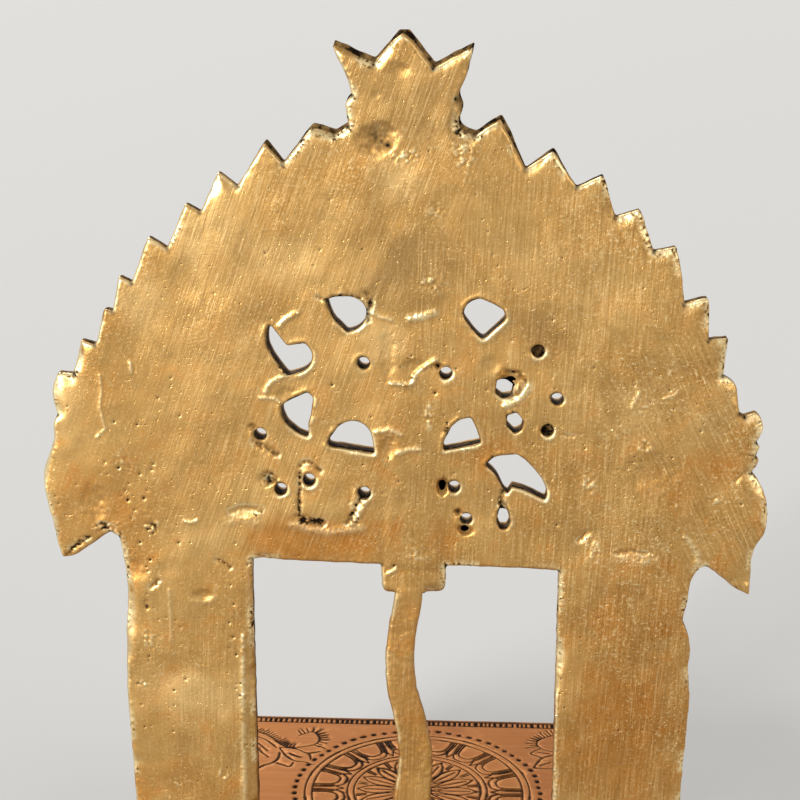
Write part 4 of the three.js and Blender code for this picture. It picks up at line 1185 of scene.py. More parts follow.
# The front face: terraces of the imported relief, then the ornament in low relief over them, rims round the
# holes and a sandy, sooty ground between.
def archFrontFace(u, v, edge, holes):
    d = frontDims
    spots = np.column_stack([u, v])
    height = 0.12 * smoothNoise(u, v, 17, 41) + 0.05 * smoothNoise(u, v, 5, 42)
    terraces = []
    for level, rise, least in d["terraces"]:
        loops = [loop for loop in sectionLoops("arch_plate", 1, plate["front"] - level)
                 if np.ptp(loop, axis=0).max() > least]
        terraces.append(rise * insideOf(spots, loops) * ease(edgeDistance(spots, loops, 3), 0, d["slope"]))
    height += sum(terraces)
    field = terraces[1] < 0.1
    ornament = bandRise(u, v)
    low, high = (u.min() - 1, seatTop - 1), (u.max() + 1, v.max() + 1)
    for strokes, width, rise in (
        (vineStrokes(), 1.15, 0.85), (flameRibs(), 1.3, 0.8), (wingStrokes(), 1.0, 0.75),
        ([curveThrough(treeTrunk)], 3.0, 0.9), (branchStrokes(), 1.3, 0.75),
    ):
        away = readRaster(strokeRaster(strokes, low, high, 0.2, width + 0.4), u, v)
        ornament = np.maximum(ornament, ridge(away, width, rise))
    ornament = np.maximum(ornament, leafRise(u, v, holes) * (terraces[0] > 0.4) * field)
    drilled = [hole for hole in holes if np.ptp(hole, axis=0).max() < 6]
    collar = d["collar"] * (1 - ease(edgeDistance(spots, drilled, 4), 0.9, 2.0))
    collar = np.maximum(collar, d["ledge"] * (1 - ease(edgeDistance(spots, holes, 4), 0.8, 1.8)))
    ornament = np.maximum(ornament * ease(edge, 0.2, 1.4), collar)
    bare = 1 - ease(ornament, 0.03, 0.25)
    ground = field * bare
    grain = smoothNoise(u, v, 0.8, 43)
    height += ornament + 0.1 * ground * grain
    soot = ground * (0.42 - 0.1 * grain + 0.1 * smoothNoise(u, v, 6, 44)) + 0.15 * bare
    soot += 0.5 * bell(ornament - 0.12, 0.12)
    slope = terraces[0] / d["terraces"][0][1]
    return height, np.clip(np.maximum(soot, 2.56 * slope * (1 - slope)), 0, 0.95)

def makeArchFront():
    d = frontDims
    loops = archLoops(archOutline)
    loops[0] += crestFlare(loops[0])
    kept = {}

    def face(u, v, edge):
        height, kept["soot"] = archFrontFace(u, v, edge, loops[1:])
        return height

    info = slabParts(loops, d["spacing"], face, plate["front"] - plate["seam"], d["rounding"], rows=2)
    soot = np.maximum(padded(kept["soot"], len(info["u"])), wallDarkening(info, 0.75, 0.2, 0.34))
    points = archPoints(info, plate["front"], -1)
    addPiece("arch_front", points, info["faces"], "arch", "cast_brass", ["arch_plate"], soot=soot)
    print("arch front:", len(info["faces"]), "triangles")

makeArchFront()

pillarDims = {
    "inner": {1: 42.8, -1: 44.3},  # inner edges of the left and right pillar
    "outer": 79,
    "inset": 1.1,
    "sink": 0.6,  # let into the plate
    "pedestal": 12,
    "capital": 10,
    "overlap": 0.3,  # of the column into pedestal and capital
    "top": seatTop + 94.5,
    "columnWide": 9.8,
    "columnDeep": 6.2,
    "mouldDeep": 5.9,
    "flutes": 9,
    "turns": 1.2,  # of the flutes round the column
    "petals": 9,  # along a moulding
}
# Half column from the pedestal up: share of its length, share of its radius
columnTurning = [
    (0, 0.95), (0.035, 0.97), (0.05, 0.9), (0.065, 0.72), (0.085, 0.7), (0.11, 0.86), (0.14, 0.95),
    (0.17, 0.9), (0.19, 0.72), (0.23, 0.64), (0.3, 0.67), (0.4, 0.74), (0.455, 0.76), (0.47, 0.84),
    (0.5, 0.88), (0.53, 0.84), (0.545, 0.74), (0.6, 0.71), (0.7, 0.66), (0.79, 0.62), (0.815, 0.7),
    (0.83, 0.84), (0.87, 0.9), (0.9, 0.82), (0.915, 0.68), (0.935, 0.68), (0.95, 0.86), (1, 0.95),
]

# A half column: turned profile with flutes on its shaft, flattened in depth, its back let into the plate.
def halfColumn(x):
    d = pillarDims
    z0, z1 = seatTop + d["pedestal"] - d["overlap"], d["top"] - d["capital"] + d["overlap"]
    share = np.linspace(0, 1, 190)[:, None]
    angle = turnAngles(72)
    profile = curveThrough(columnTurning, 6)
    radius = np.interp(share, profile[:, 0], profile[:, 1])
    shaft = ease(share, 0.21, 0.25) * (1 - ease(share, 0.42, 0.45))
    shaft = shaft + ease(share, 0.56, 0.6) * (1 - ease(share, 0.77, 0.8))
    twist = 2 * np.pi * share * d["turns"]
    flute = -0.07 * np.abs(np.sin(d["flutes"] * (angle + twist) / 2)) ** 0.7 * shaft
    petals = bell(share - 0.14, 0.04) + bell(share - 0.86, 0.04)
    lobe = np.abs(np.sin(6 * angle))
    wave = flute - 0.06 * petals * lobe
    r = radius + wave
    front = np.where(np.sin(angle) > 0, d["columnDeep"], d["sink"]) * np.sin(angle)
    rings = np.stack([
        x + r * d["columnWide"] * np.cos(angle),
        plate["front"] - r * front,
        z0 + share * (z1 - z0) + 0 * r,
    ], axis=2)
    middle = plate["front"] - 1.0
    points, faces = ringSurface(rings, [[x, middle, z0]], [[x, middle, z1]])
    soot = np.clip(0.15 - 5 * wave * shaft + 0.42 * petals * (lobe > 0.75), 0, 0.85)
    waist = np.clip((0.78 - radius) * 2.2, 0, 0.5)
    return points, faces, padded(np.clip(soot + waist, 0, 0.9).ravel(), len(points))

# A moulding carried round a block: rows of (height, inset, petal depth), each row a rectangle whose inset
# grows between petals.
def mouldedBlock(x0, x1, profile):
    d = pillarDims
    y0, y1 = plate["front"] - d["mouldDeep"], plate["front"] + d["sink"]
    t = np.linspace(0, 4, 240, endpoint=False)
    side = np.floor(t).astype(int)
    part = t - side
    cornerX, cornerY = np.array([x0, x1, x1, x0, x0]), np.array([y0, y0, y1, y1, y0])
    px, py = (corner[side] * (1 - part) + corner[side + 1] * part for corner in (cornerX, cornerY))
    along = np.where(side % 2 == 0, px - x0, py - y0)
    scallop = np.abs(np.sin(np.pi * along * d["petals"] / (x1 - x0)))
    height, inset, petal = curveThrough(profile, 4).T[:, :, None]
    pushed = inset + petal * (1 - scallop) ** 1.5
    halfX, halfY = (x1 - x0) / 2, (y1 - y0) / 2
    x = px - (px - x0 - halfX) / halfX * pushed
    y = np.where(py < y1 - 0.01 * halfY, py - (py - y0 - halfY) / halfY * pushed, y1)
    rings = np.stack([x, y, height + 0 * x], axis=2)
    ends = ([[x0 + halfX, y0 + halfY, z]] for z in (height[0, 0], height[-1, 0]))
    points, faces = ringSurface(rings, *ends)
    soot = np.clip(0.12 + 0.9 * petal * (scallop < 0.3) + 0.35 * (inset > 1.2), 0, 0.85)
    return points, faces, padded(soot.ravel(), len(points), 0.3)

# Rows of the pedestal's moulding: height, inset, petal depth
pedestalProfile = [
    (0.05, 0, 0), (2.2, 0, 0), (2.6, 0.4, 0), (3.0, 1.3, 0), (3.6, 1.4, 0), (4.2, 0.5, 0.3),
    (6.0, 0.1, 0.8), (7.8, 0.7, 0.8), (8.6, 1.5, 0.2), (9.2, 1.6, 0), (9.6, 0.8, 0), (10.6, 0.5, 0),
    (11.5, 0.8, 0), (12.0, 1.6, 0),
]

def makePillars():
    d = pillarDims
    for side, label in ((1, "left"), (-1, "right")):
        x0, x1 = sorted((side * (d["inner"][side] + d["inset"]), side * (d["outer"] - d["inset"])))
        lower = d["capital"] / d["pedestal"]
        capital = [(d["top"] - z * lower, inset, petal) for z, inset, petal in pedestalProfile][::-1]
        base = [(seatTop + z, inset, petal) for z, inset, petal in pedestalProfile]
        made = [halfColumn((x0 + x1) / 2), mouldedBlock(x0, x1, base), mouldedBlock(x0, x1, capital)]
        points, faces = joinParts([part[:2] for part in made])
        soot = np.concatenate([part[2] for part in made])
        addPiece(f"pillar_{label}", points, faces, "arch", "cast_brass", soot=soot)
    print("pillars made")

makePillars()

crestDims = {
    "rosette": 11.8,
    "rosetteDeep": 5.8,
    "rosetteZ": seatTop + 208,
    "sink": 0.6,  # of the rosette's back in the plate
    "petals": 12,
    "crownRise": 4.8,
    "budRise": 3.6,
    "budX": -3.3,
    "faceDepth": 3.2,  # in front of the plate, where the outlines of crown and bud are taken
}

# The rosette: two rings of petals round a button, on a domed disc, with a flat back let into the plate.
def makeRosette():
    d = crestDims
    front, z = plate["front"], d["rosetteZ"]
    angle = turnAngles(144)
    outer, inner = np.abs(np.cos(d["petals"] * angle / 2)), np.abs(np.sin(d["petals"] * angle / 2))
    s = np.linspace(1, 0.02, 44)[:, None]
    dome = np.sqrt(np.clip(1 - s ** 2, 0, 1))
    button = ridge(s, 0.2, 0.16)
    petalOut = ease(s, 0.5, 0.62) * (1 - ease(s, 0.9, 1.0))
    petalIn = ease(s, 0.22, 0.3) * (1 - ease(s, 0.5, 0.56))
    lift = 0.62 * dome + 0.2 * petalOut * outer ** 0.7 + 0.18 * petalIn * inner ** 0.7
    lift = np.minimum(lift + button, 1.0)
    radius = d["rosette"] * s * (1 - 0.1 * (1 - outer) * ease(s, 0.7, 1.0))
    face = front - d["rosetteDeep"] * lift
    rings = np.stack([radius * np.cos(angle), face, z + radius * np.sin(angle)], axis=2)
    rings = np.concatenate([rings[:1] + [0, d["sink"], 0], rings])
    points, faces = ringSurface(rings, [[0, front + d["sink"], z]], [[0, face.min(), z]])
    soot = 0.9 * (petalOut * (1 - outer) ** 1.5 + petalIn * (1 - inner) ** 1.5)
    soot = np.clip(soot + 0.6 * bell(s - 0.22, 0.03) + 0.5 * bell(s - 0.54, 0.03), 0, 0.9)
    soot = np.concatenate([soot[:1], soot]).ravel()
    addPiece("rosette", points, faces, "arch", "cast_brass", soot=padded(soot, len(points)))

# The crown in front of the crest and the bud in front of the boss: small slabs on outlines of the packed
# relief, each with a rim, ribs that spread upwards and an oval jewel.
def makeCrownAndBud():
    d = crestDims
    loops = sectionLoops("arch_plate", 1, plate["front"] - d["faceDepth"])
    crown = max(loops, key=lambda loop: loop[:, 1].max())
    bud = min((loop for loop in loops if abs(loop[:, 0].mean() - d["budX"]) < 3 and loop[:, 1].mean() < 150),
              key=lambda loop: loop[:, 1].mean())
    for name, loop, rise in (("crown", crown, d["crownRise"]), ("boss_bud", bud, d["budRise"])):
        outline = castOutline(loop, 0.45, 0.35, 0.8, 0.06)
        x, z = (outline.min(0) + outline.max(0)) / 2
        kept = {}

        def face(u, v, edge):
            rim = ridge(edge - 1.0, 0.8, 0.5)
            spread = (u - x) / (0.35 + np.abs(v - seatTop - 200) / 60)
            ribs = 0.35 * np.cos(spread * 1.5) * ease(edge, 1.6, 2.6)
            jewel = ridge(np.hypot(u - x, (v - z + 1) / 1.35), 2.6, 0.9)
            relief = np.maximum(np.maximum(rim, ribs), jewel)
            kept["soot"] = 0.7 * (1 - ease(relief, 0.05, 0.35)) * ease(edge, 0.8, 1.6)
            return rise - 0.9 + relief

        info = slabParts([outline], 0.5, face, -0.5, 0.5, rows=4)
        points = np.column_stack([info["u"], plate["front"] - info["w"], info["v"]])
        soot = padded(kept["soot"], len(points), 0.35)
        addPiece(name, points, info["faces"], "arch", "cast_brass", soot=soot)

makeRosette()
makeCrownAndBud()
print("crest made")

# A box with rounded edges: points on the faces of a cube grid, each pushed out from the nearest point of the
# inner core by the edge radius. carve(axis, cube) gives a depth into the faces across that axis.
def roundedBox(low, high, radius, cells, carve=None):
    low, high = np.asarray(low, float), np.asarray(high, float)
    t = np.linspace(-1, 1, cells + 1)
    a, b = (g.ravel() for g in np.meshgrid(t, t, indexing="ij"))
    k = np.arange(cells * (cells + 1)).reshape(cells, cells + 1)[:, :-1].ravel()
    quad = np.column_stack([k, k + cells + 1, k + cells + 2, k + 1])
    sheets, faces, depths = [], [], []
    for axis in range(3):
        for sign in (-1, 1):
            cube = np.empty((len(a), 3))
            cube[:, axis] = sign
            cube[:, (axis + 1) % 3] = a * sign
            cube[:, (axis + 2) % 3] = b
            faces.append(quad + len(sheets) * len(a))
            sheets.append(cube)
            depths.append(np.zeros(len(a)) if carve is None else carve(axis, cube))
    outer = (low + high) / 2 + np.vstack(sheets) * (high - low) / 2
    depth = np.concatenate(depths)
    core = np.clip(outer, low + radius, high - radius)
    away = outer - core
    normal = away / np.maximum(np.linalg.norm(away, axis=1), 1e-9)[:, None]
    points = core + normal * (radius - depth[:, None])
    shared, where = np.unique(np.round(outer, 4), axis=0, return_inverse=True)
    where = where.reshape(-1)
    merged = np.zeros((len(shared), 3))
    np.add.at(merged, where, points)
    size = np.bincount(where)
    return merged / size[:, None], where[np.vstack(faces)], np.bincount(where, depth) / size

# The tenons under the arch, dull from their sockets.
def makeTenons():
    parts, darkenings = [], []
    foot = nodeBox("arch_plate")[0][2]
    for loop in sectionLoops("arch_plate", 2, seatTop - 5):
        low, high = [*loop.min(0), foot], [*loop.max(0), seatTop + 0.5]
        points, faces, _ = roundedBox(low, high, 0.4, 20)
        parts.append((points, faces))
        darkenings.append(0.35 + 0.25 * smoothNoise(points[:, 0], points[:, 2], 2.5, 51))
    points, faces = joinParts(parts)
    none = np.zeros(len(points))
    addPiece("arch_tenons", points, faces, "arch", "filed_brass", ["arch_plate"],
             soot=np.concatenate(darkenings), burr=none, shade=none - 0.3)

makeTenons()

stemDims = {
    "step": 0.5,
    "spacing": 0.6,
    "rounding": 0.9,
    "half": 2.0,
    "proud": 0.12,  # over the boss, into which its top sinks
    "reach": 4.6,  # up into the boss
    "foot": 1,  # of the tongue over the seat
    "head": 6,  # height of the block in the boss
}

# The stem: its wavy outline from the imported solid, two slabs back to back with softly rounded edges. Its back
# carries on the filed waves of the plate and sinks into the boss at the top, and a block at either end fills
# the slot of the seat and the boss.
def makeStem():
    d = stemDims
    low, high, top = stemLow, stemHigh, stemTop
    loop = stemOutline.copy()
    loop[loop[:, 1] > top - 0.5, 1] += d["reach"]
    loops = [castOutline(loop, d["step"], 0.4, 2.2, 0.14, 6)]
    parts, darkenings, burrsAndHighlights = [], [], []

    def back(u, v, edge):
        sand = 0.1 * smoothNoise(u, v, 0.7, 67) * ease(smoothNoise(u, v, 5, 68), -0.7, 0.1)
        sink = 0.3 * ease(v, top + 0.3, top + 4.2)
        return fileWaves(u, v) + archDims["bossRise"] + d["proud"] + sand - sink

    def front(u, v, edge):
        return 0.1 * smoothNoise(u, v, 5, 62)

    for face, plane, sign in ((back, plate["back"], 1), (front, high[1] - 2 * d["half"] + 0.1, -1)):
        info = slabParts(loops, d["spacing"], face, -d["half"], d["rounding"])
        u, v = info["u"], info["v"]
        parts.append((np.column_stack([u, plane + sign * info["w"], v]), info["faces"][:, ::sign]))
        rough = ease(smoothNoise(u, v, 0.9, 65), 0.5, 0.9) * ease(smoothNoise(u, v, 6, 66), 0, 0.5)
        darkenings.append(0.4 * rough + 0.35 * ease(info["wall"], 0, 0.4))
        # Painted highlight on edges that face the key light.
        lit = ease(edgeFacing(u, v, loops, 1.5) @ [0.55, 0.9], -0.1, 0.5) * (v < top) * (info["wall"] == 0)
        lit *= 0.8 * ease(smoothNoise(u, v, 5, 69), -0.6, 0.0)
        burrsAndHighlights.append(lit * bell(info["edge"] - 0.45, 0.45))
    blocks = ((low[2], seatTop + d["foot"], low[2] + 1), (high[2] - d["head"], high[2], high[2] - 1))
    for z0, z1, level in blocks:
        loop = sectionLoops("stem", 2, level)[0]
        points, faces, _ = roundedBox([*loop.min(0), z0], [*(loop.max(0) - [0, 0.8]), z1], 0.3, 10)
        parts.append((points, faces))
        darkenings.append(np.full(len(points), 0.4))
        burrsAndHighlights.append(np.zeros(len(points)))
    points, faces = joinParts(parts)
    own = -0.4 + 0.3 * smoothNoise(points[:, 0], points[:, 2], 9, 70)
    upper = ease(points[:, 2], top - 5, top + 1)
    addPiece("wavy_stem", points, faces, "arch", "filed_brass", ["stem"],
             soot=np.concatenate(darkenings), burr=np.concatenate(burrsAndHighlights),
             shade=own * (1 - upper) + shadeOf(points[:, 0], points[:, 2]) * upper)
    print("stem made")

makeStem()

# Seat

seatDims = {
    "edgeRound": 0.35,
    "edgeStep": 0.8,
    "section": 1.5,  # depth at which the plate's outline is taken
    "sag": 0.07,  # of the whole top under its plane
    "lipRise": 0.04,  # of the burr thrown up beside a cut
    "border": (1.6, 3.0),  # inset from the edge, width
    "bar": (1.8, 0.36),  # pitch and half width of the border's bars
    "centre": (-2.9, -0.4),  # of the rings
    "dotRing": 39.8,
    "dots": 66,
    "rings": (36.5, 34.2, 22.7, 20.6, 4.6),
    "petals": 16,
    "petalIn": 23.8,
    "petalOut": 33.7,
    "starReach": 15,  # of the star's petals from the innermost ring
    "starRib": (7.0, 17.0),
    "starTick": (16.8, 19.8),
    "rearShare": 0.86,  # depth of the rear sprays against the front ones
    "cut": 0.42,  # half width of a chased line
    "depth": 0.36,
    "raster": 0.1,
    "merge": 0.17,  # cell in which only one point is kept
    "far": 1.7,  # grid spacing away from the lines
}
seatLow, seatHigh = nodeBox("seat_plate")
# Leaf sprays by the front corners: sideways, forwards
leftSpray = [
    [(56, 37.6), (51.5, 35.6), (48.2, 32.5), (44.4, 27.9), (40.1, 26.4), (36.7, 27.5), (33.7, 28.8),
     (32.1, 32), (33.4, 36.6), (35.6, 37.9), (38.9, 35.6)],
    [(57, 35.4), (51.3, 32), (48.7, 29.2), (46.3, 26)],
    [(45.1, 25.8), (42.2, 20.5), (39.1, 17.5), (35.5, 16.7), (32.9, 15.3)],
    [(45.1, 26.1), (41.7, 26.3), (38.4, 25), (35.3, 22.9), (31.3, 24.1)],
    [(33.7, 28.8), (31.7, 27.8), (29.8, 26.6)],
    [(44.9, 22.9), (44.7, 20.3), (45.2, 17.5), (46.9, 15.2), (48.9, 13.8), (51.5, 10.6)],
    [(44.9, 15.6), (42.8, 14.5), (40.3, 13.4), (39.4, 15.9)], [(34.7, 22.1), (34, 20.3), (33.8, 18.4)],
    [(53, 29), (51.2, 26.6), (49.2, 24)], [(52, 24.5), (50.4, 22), (48.6, 20)],
    [(41.4, 22.3), (39.6, 21), (38, 20.2)],
    [(56, 37.6), (62, 39.5), (69, 36.5), (71, 29), (65.5, 25), (61.4, 28.4), (63.4, 31.6)],
    [(57, 35.4), (60, 27), (66, 20.5), (74, 19)],
    [(51.5, 10.6), (56, 6.5), (63, 6), (68, 10), (66, 14.4), (62.4, 13.2)],
]
# Fringes beside them: path, pitch, length, side
leftFringes = [
    ([(54.5, 37.3), (50.5, 34.4), (47.5, 31.2), (44.2, 27.8), (40.9, 26.5)], 1.15, 2.3, -1),
    ([(33.7, 28.8), (32.1, 32), (33.4, 36.6), (35.6, 37.9), (38.9, 36.4)], 1.3, 2.4, 1),
    ([(62, 39.5), (69, 36.5), (71, 29)], 1.4, 2.2, 1),
]
rightSpray = [
    [(-53, 41), (-47.7, 39.2), (-43.9, 36.6), (-42.7, 34.2), (-43.2, 31.6), (-45.6, 29.1), (-52, 27)],
    [(-44.1, 30.2), (-42, 28.7), (-40.4, 26.4), (-42.1, 25.2), (-43.9, 23.9)],
    [(-50, 26.5), (-45.2, 24.3), (-43.5, 22.5), (-42, 19.3), (-41.1, 16.8)],
    [(-41.1, 16.8), (-46.6, 16.5), (-52, 17.5)], [(-43.2, 27.4), (-45, 27), (-46.8, 26.6)],
    [(-46.4, 20.4), (-45, 19.6), (-43.8, 18.8)],
    [(-53, 41), (-60, 42), (-68, 39), (-71, 31.5), (-66, 26), (-61.5, 29), (-63.4, 32.6)],
    [(-52, 27), (-58, 24), (-66, 21), (-74, 22)],
    [(-52, 17.5), (-58, 9), (-65, 6), (-70, 10), (-67.4, 15), (-63, 14)],
]
rightFringes = [
    ([(-50, 40.2), (-47.7, 39.4), (-43.9, 36.9), (-42.4, 34.2), (-42.9, 31.4)], 1.2, 2.6, 1),
    ([(-62, 41.7), (-68, 39), (-71, 31.5)], 1.4, 2.2, -1),
]

def circle(radius, count=120):
    return polar(radius, np.linspace(0, 2 * np.pi, count + 1))

# Short strokes to one side of a path, evenly spaced, as a chased fringe.
def fringe(path, pitch, length, side):
    spots = resample(path, pitch)
    tips = spots + leftOf(np.gradient(spots, axis=0)) * side * length
    return [np.array(ends) for ends in zip(spots, tips)]

# Petals of the ring as nested bows that open outwards, thickened by short bows along their arms, and a small
# tick between neighbours.
def ringPetals():
    d = seatDims
    part = 2 * np.pi / d["petals"]
    deep = d["petalOut"] - d["petalIn"]
    strokes = []
    whole, ends = [np.linspace(-1, 1, 25)], [np.linspace(0.62, 1, 9), np.linspace(-1, -0.62, 9)]
    for shrink, arms in ((1.0, whole), (0.7, whole), (0.86, ends)):
        bottom = d["petalIn"] + (1 - shrink) * deep * 0.8
        for t in arms:
            out = d["petalOut"] - (d["petalOut"] - bottom) * (1 - np.abs(t) ** 2.8)
            turn = part * 0.45 * shrink * np.sin(t * np.pi / 2)
            strokes += [polar(out, (k + 0.5) * part + turn) for k in range(d["petals"])]
    tick = np.array([0.3, 3.4]) + d["petalIn"]
    for k in range(d["petals"]):
        strokes += [polar(tick, k * part + lean * np.array([0.2, 1.6])) for lean in (-0.03, 0.03)]
    return strokes

# The star in the middle: pointed petals with midribs, and short strokes behind them.
def starStrokes():
    d = seatDims
    part = 2 * np.pi / d["petals"]
    t = np.linspace(0, 1, 16)
    out = d["rings"][4] + d["starReach"] * t
    bow = part * 0.47 * np.sin(np.pi * np.clip(t * 1.04, 0, 1)) ** 0.8
    strokes = []
    for k in range(d["petals"]):
        strokes += [polar(out, k * part + side * bow) for side in (-1, 1)]
        strokes.append(polar(np.array(d["starRib"]), k * part))
        strokes += [polar(np.array(d["starTick"]), (k + lean) * part) for lean in (0.44, 0.56)]
    return strokes

# The sprays of both sides by the front corners, and again, turned over, by the rear ones.
def cornerStrokes():
    strokes = [curveThrough(path, 6) for path in leftSpray + rightSpray]
    for path, *rest in leftFringes + rightFringes:
        strokes += fringe(curveThrough(path, 6), *rest)
    return [stroke * [1, turn] for stroke in strokes for turn in (-1, seatDims["rearShare"])]

# How deep each point of the seat's top is cut, as a share, and how near it is to a cut's lip.
def seatRelief(u, v, raster):
    d = seatDims
    away = readRaster(raster, u, v)
    bold = d["cut"] * (1 + 0.45 * smoothNoise(u, v, 4, 71) + 0.2 * smoothNoise(u, v, 1.3, 75))
    cut = np.clip(1 - away / bold, 0, 1)
    lip = bell(away - bold - 0.2, 0.16)
    x, y = u - d["centre"][0], v - d["centre"][1]
    radius = np.hypot(x, y)
    run = np.arctan2(y, x) / (2 * np.pi) * d["dots"]
    number = np.round(run)
    shake = smoothNoise(number, 0 * number, 1.7, 76)
    gap = (run - number) * 2 * np.pi * d["dotRing"] / d["dots"] / (1.2 + 0.4 * shake)
    dot = 1 - ease(np.hypot(gap, (radius - d["dotRing"] - 0.4 * shake) / 0.95), 0.6, 1.0)
    sideEdge, frontEdge = np.minimum(u - seatLow[0], seatHigh[0] - u), v - seatLow[1]
    edge = np.minimum(sideEdge, frontEdge)
    inset, wide = d["border"]
    pitch, half = d["bar"]
    along = np.where(sideEdge < frontEdge, v, u)
    step = along / pitch + 0.35 * smoothNoise(along, 0 * along, 4.1, 77)
    number = np.round(step)
    bar = np.abs(step - number) * pitch
    broad = half * (1.1 + 0.5 * smoothNoise(number, 0 * number, 1.3, 78))
    across = ease(np.minimum(edge - inset, inset + wide - edge), 0, 0.4)
    bars = (1 - ease(bar, broad - 0.1, broad + 0.14)) * across
    worn = ease(smoothNoise(along, 0 * along, 3.3, 79), -0.7, -0.1)
    innerLine = (1 - ease(np.abs(edge - inset - wide + 0.3), 0.2, 0.42)) * worn
    outerLine = 0.6 * (1 - ease(np.abs(edge - inset), 0.12, 0.3))
    border = np.maximum(bars, np.maximum(innerLine, outerLine)) * ease(seatHigh[1] - 6 - v, 0, 1)
    return np.maximum(np.maximum(cut, 0.85 * dot), 0.9 * border), lip

# Points for the seat's top: the rim, rows along and beside every stroke, and a coarse grid over the rest.
def seatPoints(loops, strokes, raster):
    d = seatDims
    rows = []
    for stroke in strokes:
        spots = resample(stroke, 0.5)
        left = leftOf(np.gradient(spots, axis=0))
        rows += [spots + left * out for out in (0, d["cut"], -d["cut"], d["cut"] + 0.3, -d["cut"] - 0.3)]
    for out in (-1.3, -0.9, -0.5, 0, 0.5, 0.9, 1.3):
        rows.append(circle(d["dotRing"] + out, d["dots"] * 6) + d["centre"])
    inset, wide = d["border"]
    for k in (-0.15, 0.1, 0.3, 1.2, 2.1, wide - 0.65, wide - 0.4, wide - 0.15, wide + 0.1):
        x, y = seatHigh[:2] - inset - k
        rows.append(resample([[-x, y], [-x, -y], [x, -y], [x, y]], d["bar"][1] * 0.7))
    grid = gridPoints(loops[:1], d["far"])
    points = np.vstack([*rows, grid[readRaster(raster, *grid.T) > 0.95]])
    _, first = np.unique(np.round(points / d["merge"]).astype(int), axis=0, return_index=True)
    points = points[np.sort(first)]
    points = points[insideOf(points, loops)]
    points = points[edgeDistance(points, loops, 3) > 0.5]
    rim = np.vstack(loops)
    inward = np.sign(areaOf(loops[0])) * leftOfLoops(loops)
    rings = [rim + inward * inside for inside in (0.12, 0.36)]
    rings = [ring[edgeDistance(ring, loops, 2) > 0.1] for ring in rings]
    return np.vstack([rim, *rings, points])

# The chased seat: its top is cut along the strokes, dots and bars, its walls go straight down to a plain
# underside.
def makeSeat():
    d = seatDims
    loops = [castOutline(loop, d["edgeStep"], 0.25, 0.25, 0.03)
             for loop in sectionLoops("seat_plate", 2, seatTop - d["section"])]
    loops = [np.clip(loop, seatLow[:2] + 0.01, seatHigh[:2] - 0.01) for loop in loops]
    rings = [circle(radius) for radius in d["rings"]]
    strokes = [stroke + d["centre"] for stroke in rings + ringPetals() + starStrokes()] + cornerStrokes()
    raster = strokeRaster(strokes, seatLow[:2], seatHigh[:2], d["raster"], 1.0)
    rim = np.vstack(loops)
    count = len(rim)
    flat = seatPoints(loops, strokes, raster)
    u, v = flat.T
    edge = edgeDistance(flat, loops, 4)
    edge[:count] = 0
    sunk, lip = seatRelief(u, v, raster)
    wave = 0.05 * smoothNoise(u, v, 22, 72) - d["sag"]
    top = seatTop + wave - d["depth"] * sunk + d["lipRise"] * lip - edgeDrop(edge, d["edgeRound"])
    low = seatLow[2] + 0.02
    following = nextPoints(loops)
    points = [np.column_stack([flat, top])]
    faces = [fillPoints(flat, loops)]
    above = np.arange(count)
    for row, level in enumerate((low + d["edgeRound"], low)):
        points.append(np.column_stack([rim, np.full(count, level)]))
        below = len(flat) + row * count + np.arange(count)
        faces.append(wallStrip(above, below, following))
        above = below
    faces.append(fillPoints(rim, loops)[:, ::-1] + above[0])
    points, faces = np.vstack(points), np.vstack(faces)
    grime = 0.35 * bell(edge, 0.8) * ease(smoothNoise(u, v, 6, 74), -0.3, 0.6)
    soot = np.clip(ease(sunk, 0.02, 0.5) + grime, 0, 1)
    # The lips beside the cuts carry a painted highlight.
    addPiece("seat_top", points, faces, "base", "engraved_copper_brass", ["seat_plate"],
             soot=padded(soot, len(points), 0.3), burr=padded(lip * (1 - soot), len(points)))
    print("seat:", len(faces), "triangles")

makeSeat()

# Aprons

apronDims = {
    "spacing": 0.62,
    "rounding": 0.5,
    "half": 1.5,
    "relief": 0.45,
    "bead": 3.2,  # pitch of the beads under the top edge
    "tongue": 4,  # length of each end in a leg's groove
    "lobes": {"front": 7, "rear": 7, "right": 3, "left": 3},
}

# An apron's relief: beads under the top edge, a line, and hanging lotus petals that follow the lobes.
def apronFace(u, v, edge, top, lobe):
    d = apronDims
    bead = ridge(np.hypot((u / d["bead"] - np.round(u / d["bead"])) * d["bead"], v - top + 2.2), 1.25, 0.45)
    line = ridge(v - top + 4.2, 0.45, 0.3)
    across = ((u / lobe - np.floor(u / lobe)) - 0.5) * lobe
    petal = np.abs(across) * 0.92
    tall = np.clip((top - 5.2 - v) / 7.5, 0, 1)
    width = lobe * 0.44 * np.sqrt(np.clip(1 - tall ** 2.2, 0, 1))
    body = ease(width - petal, 0, 1.1) * (v < top - 5.0) * 0.42
    veins = 0.2 * bell(across, 0.35) + 0.2 * bell(width * 0.55 - petal, 0.28)
    relief = np.maximum(np.maximum(bead, line), body - veins * (body > 0.2))
    return relief * ease(edge, 0.15, 0.7)

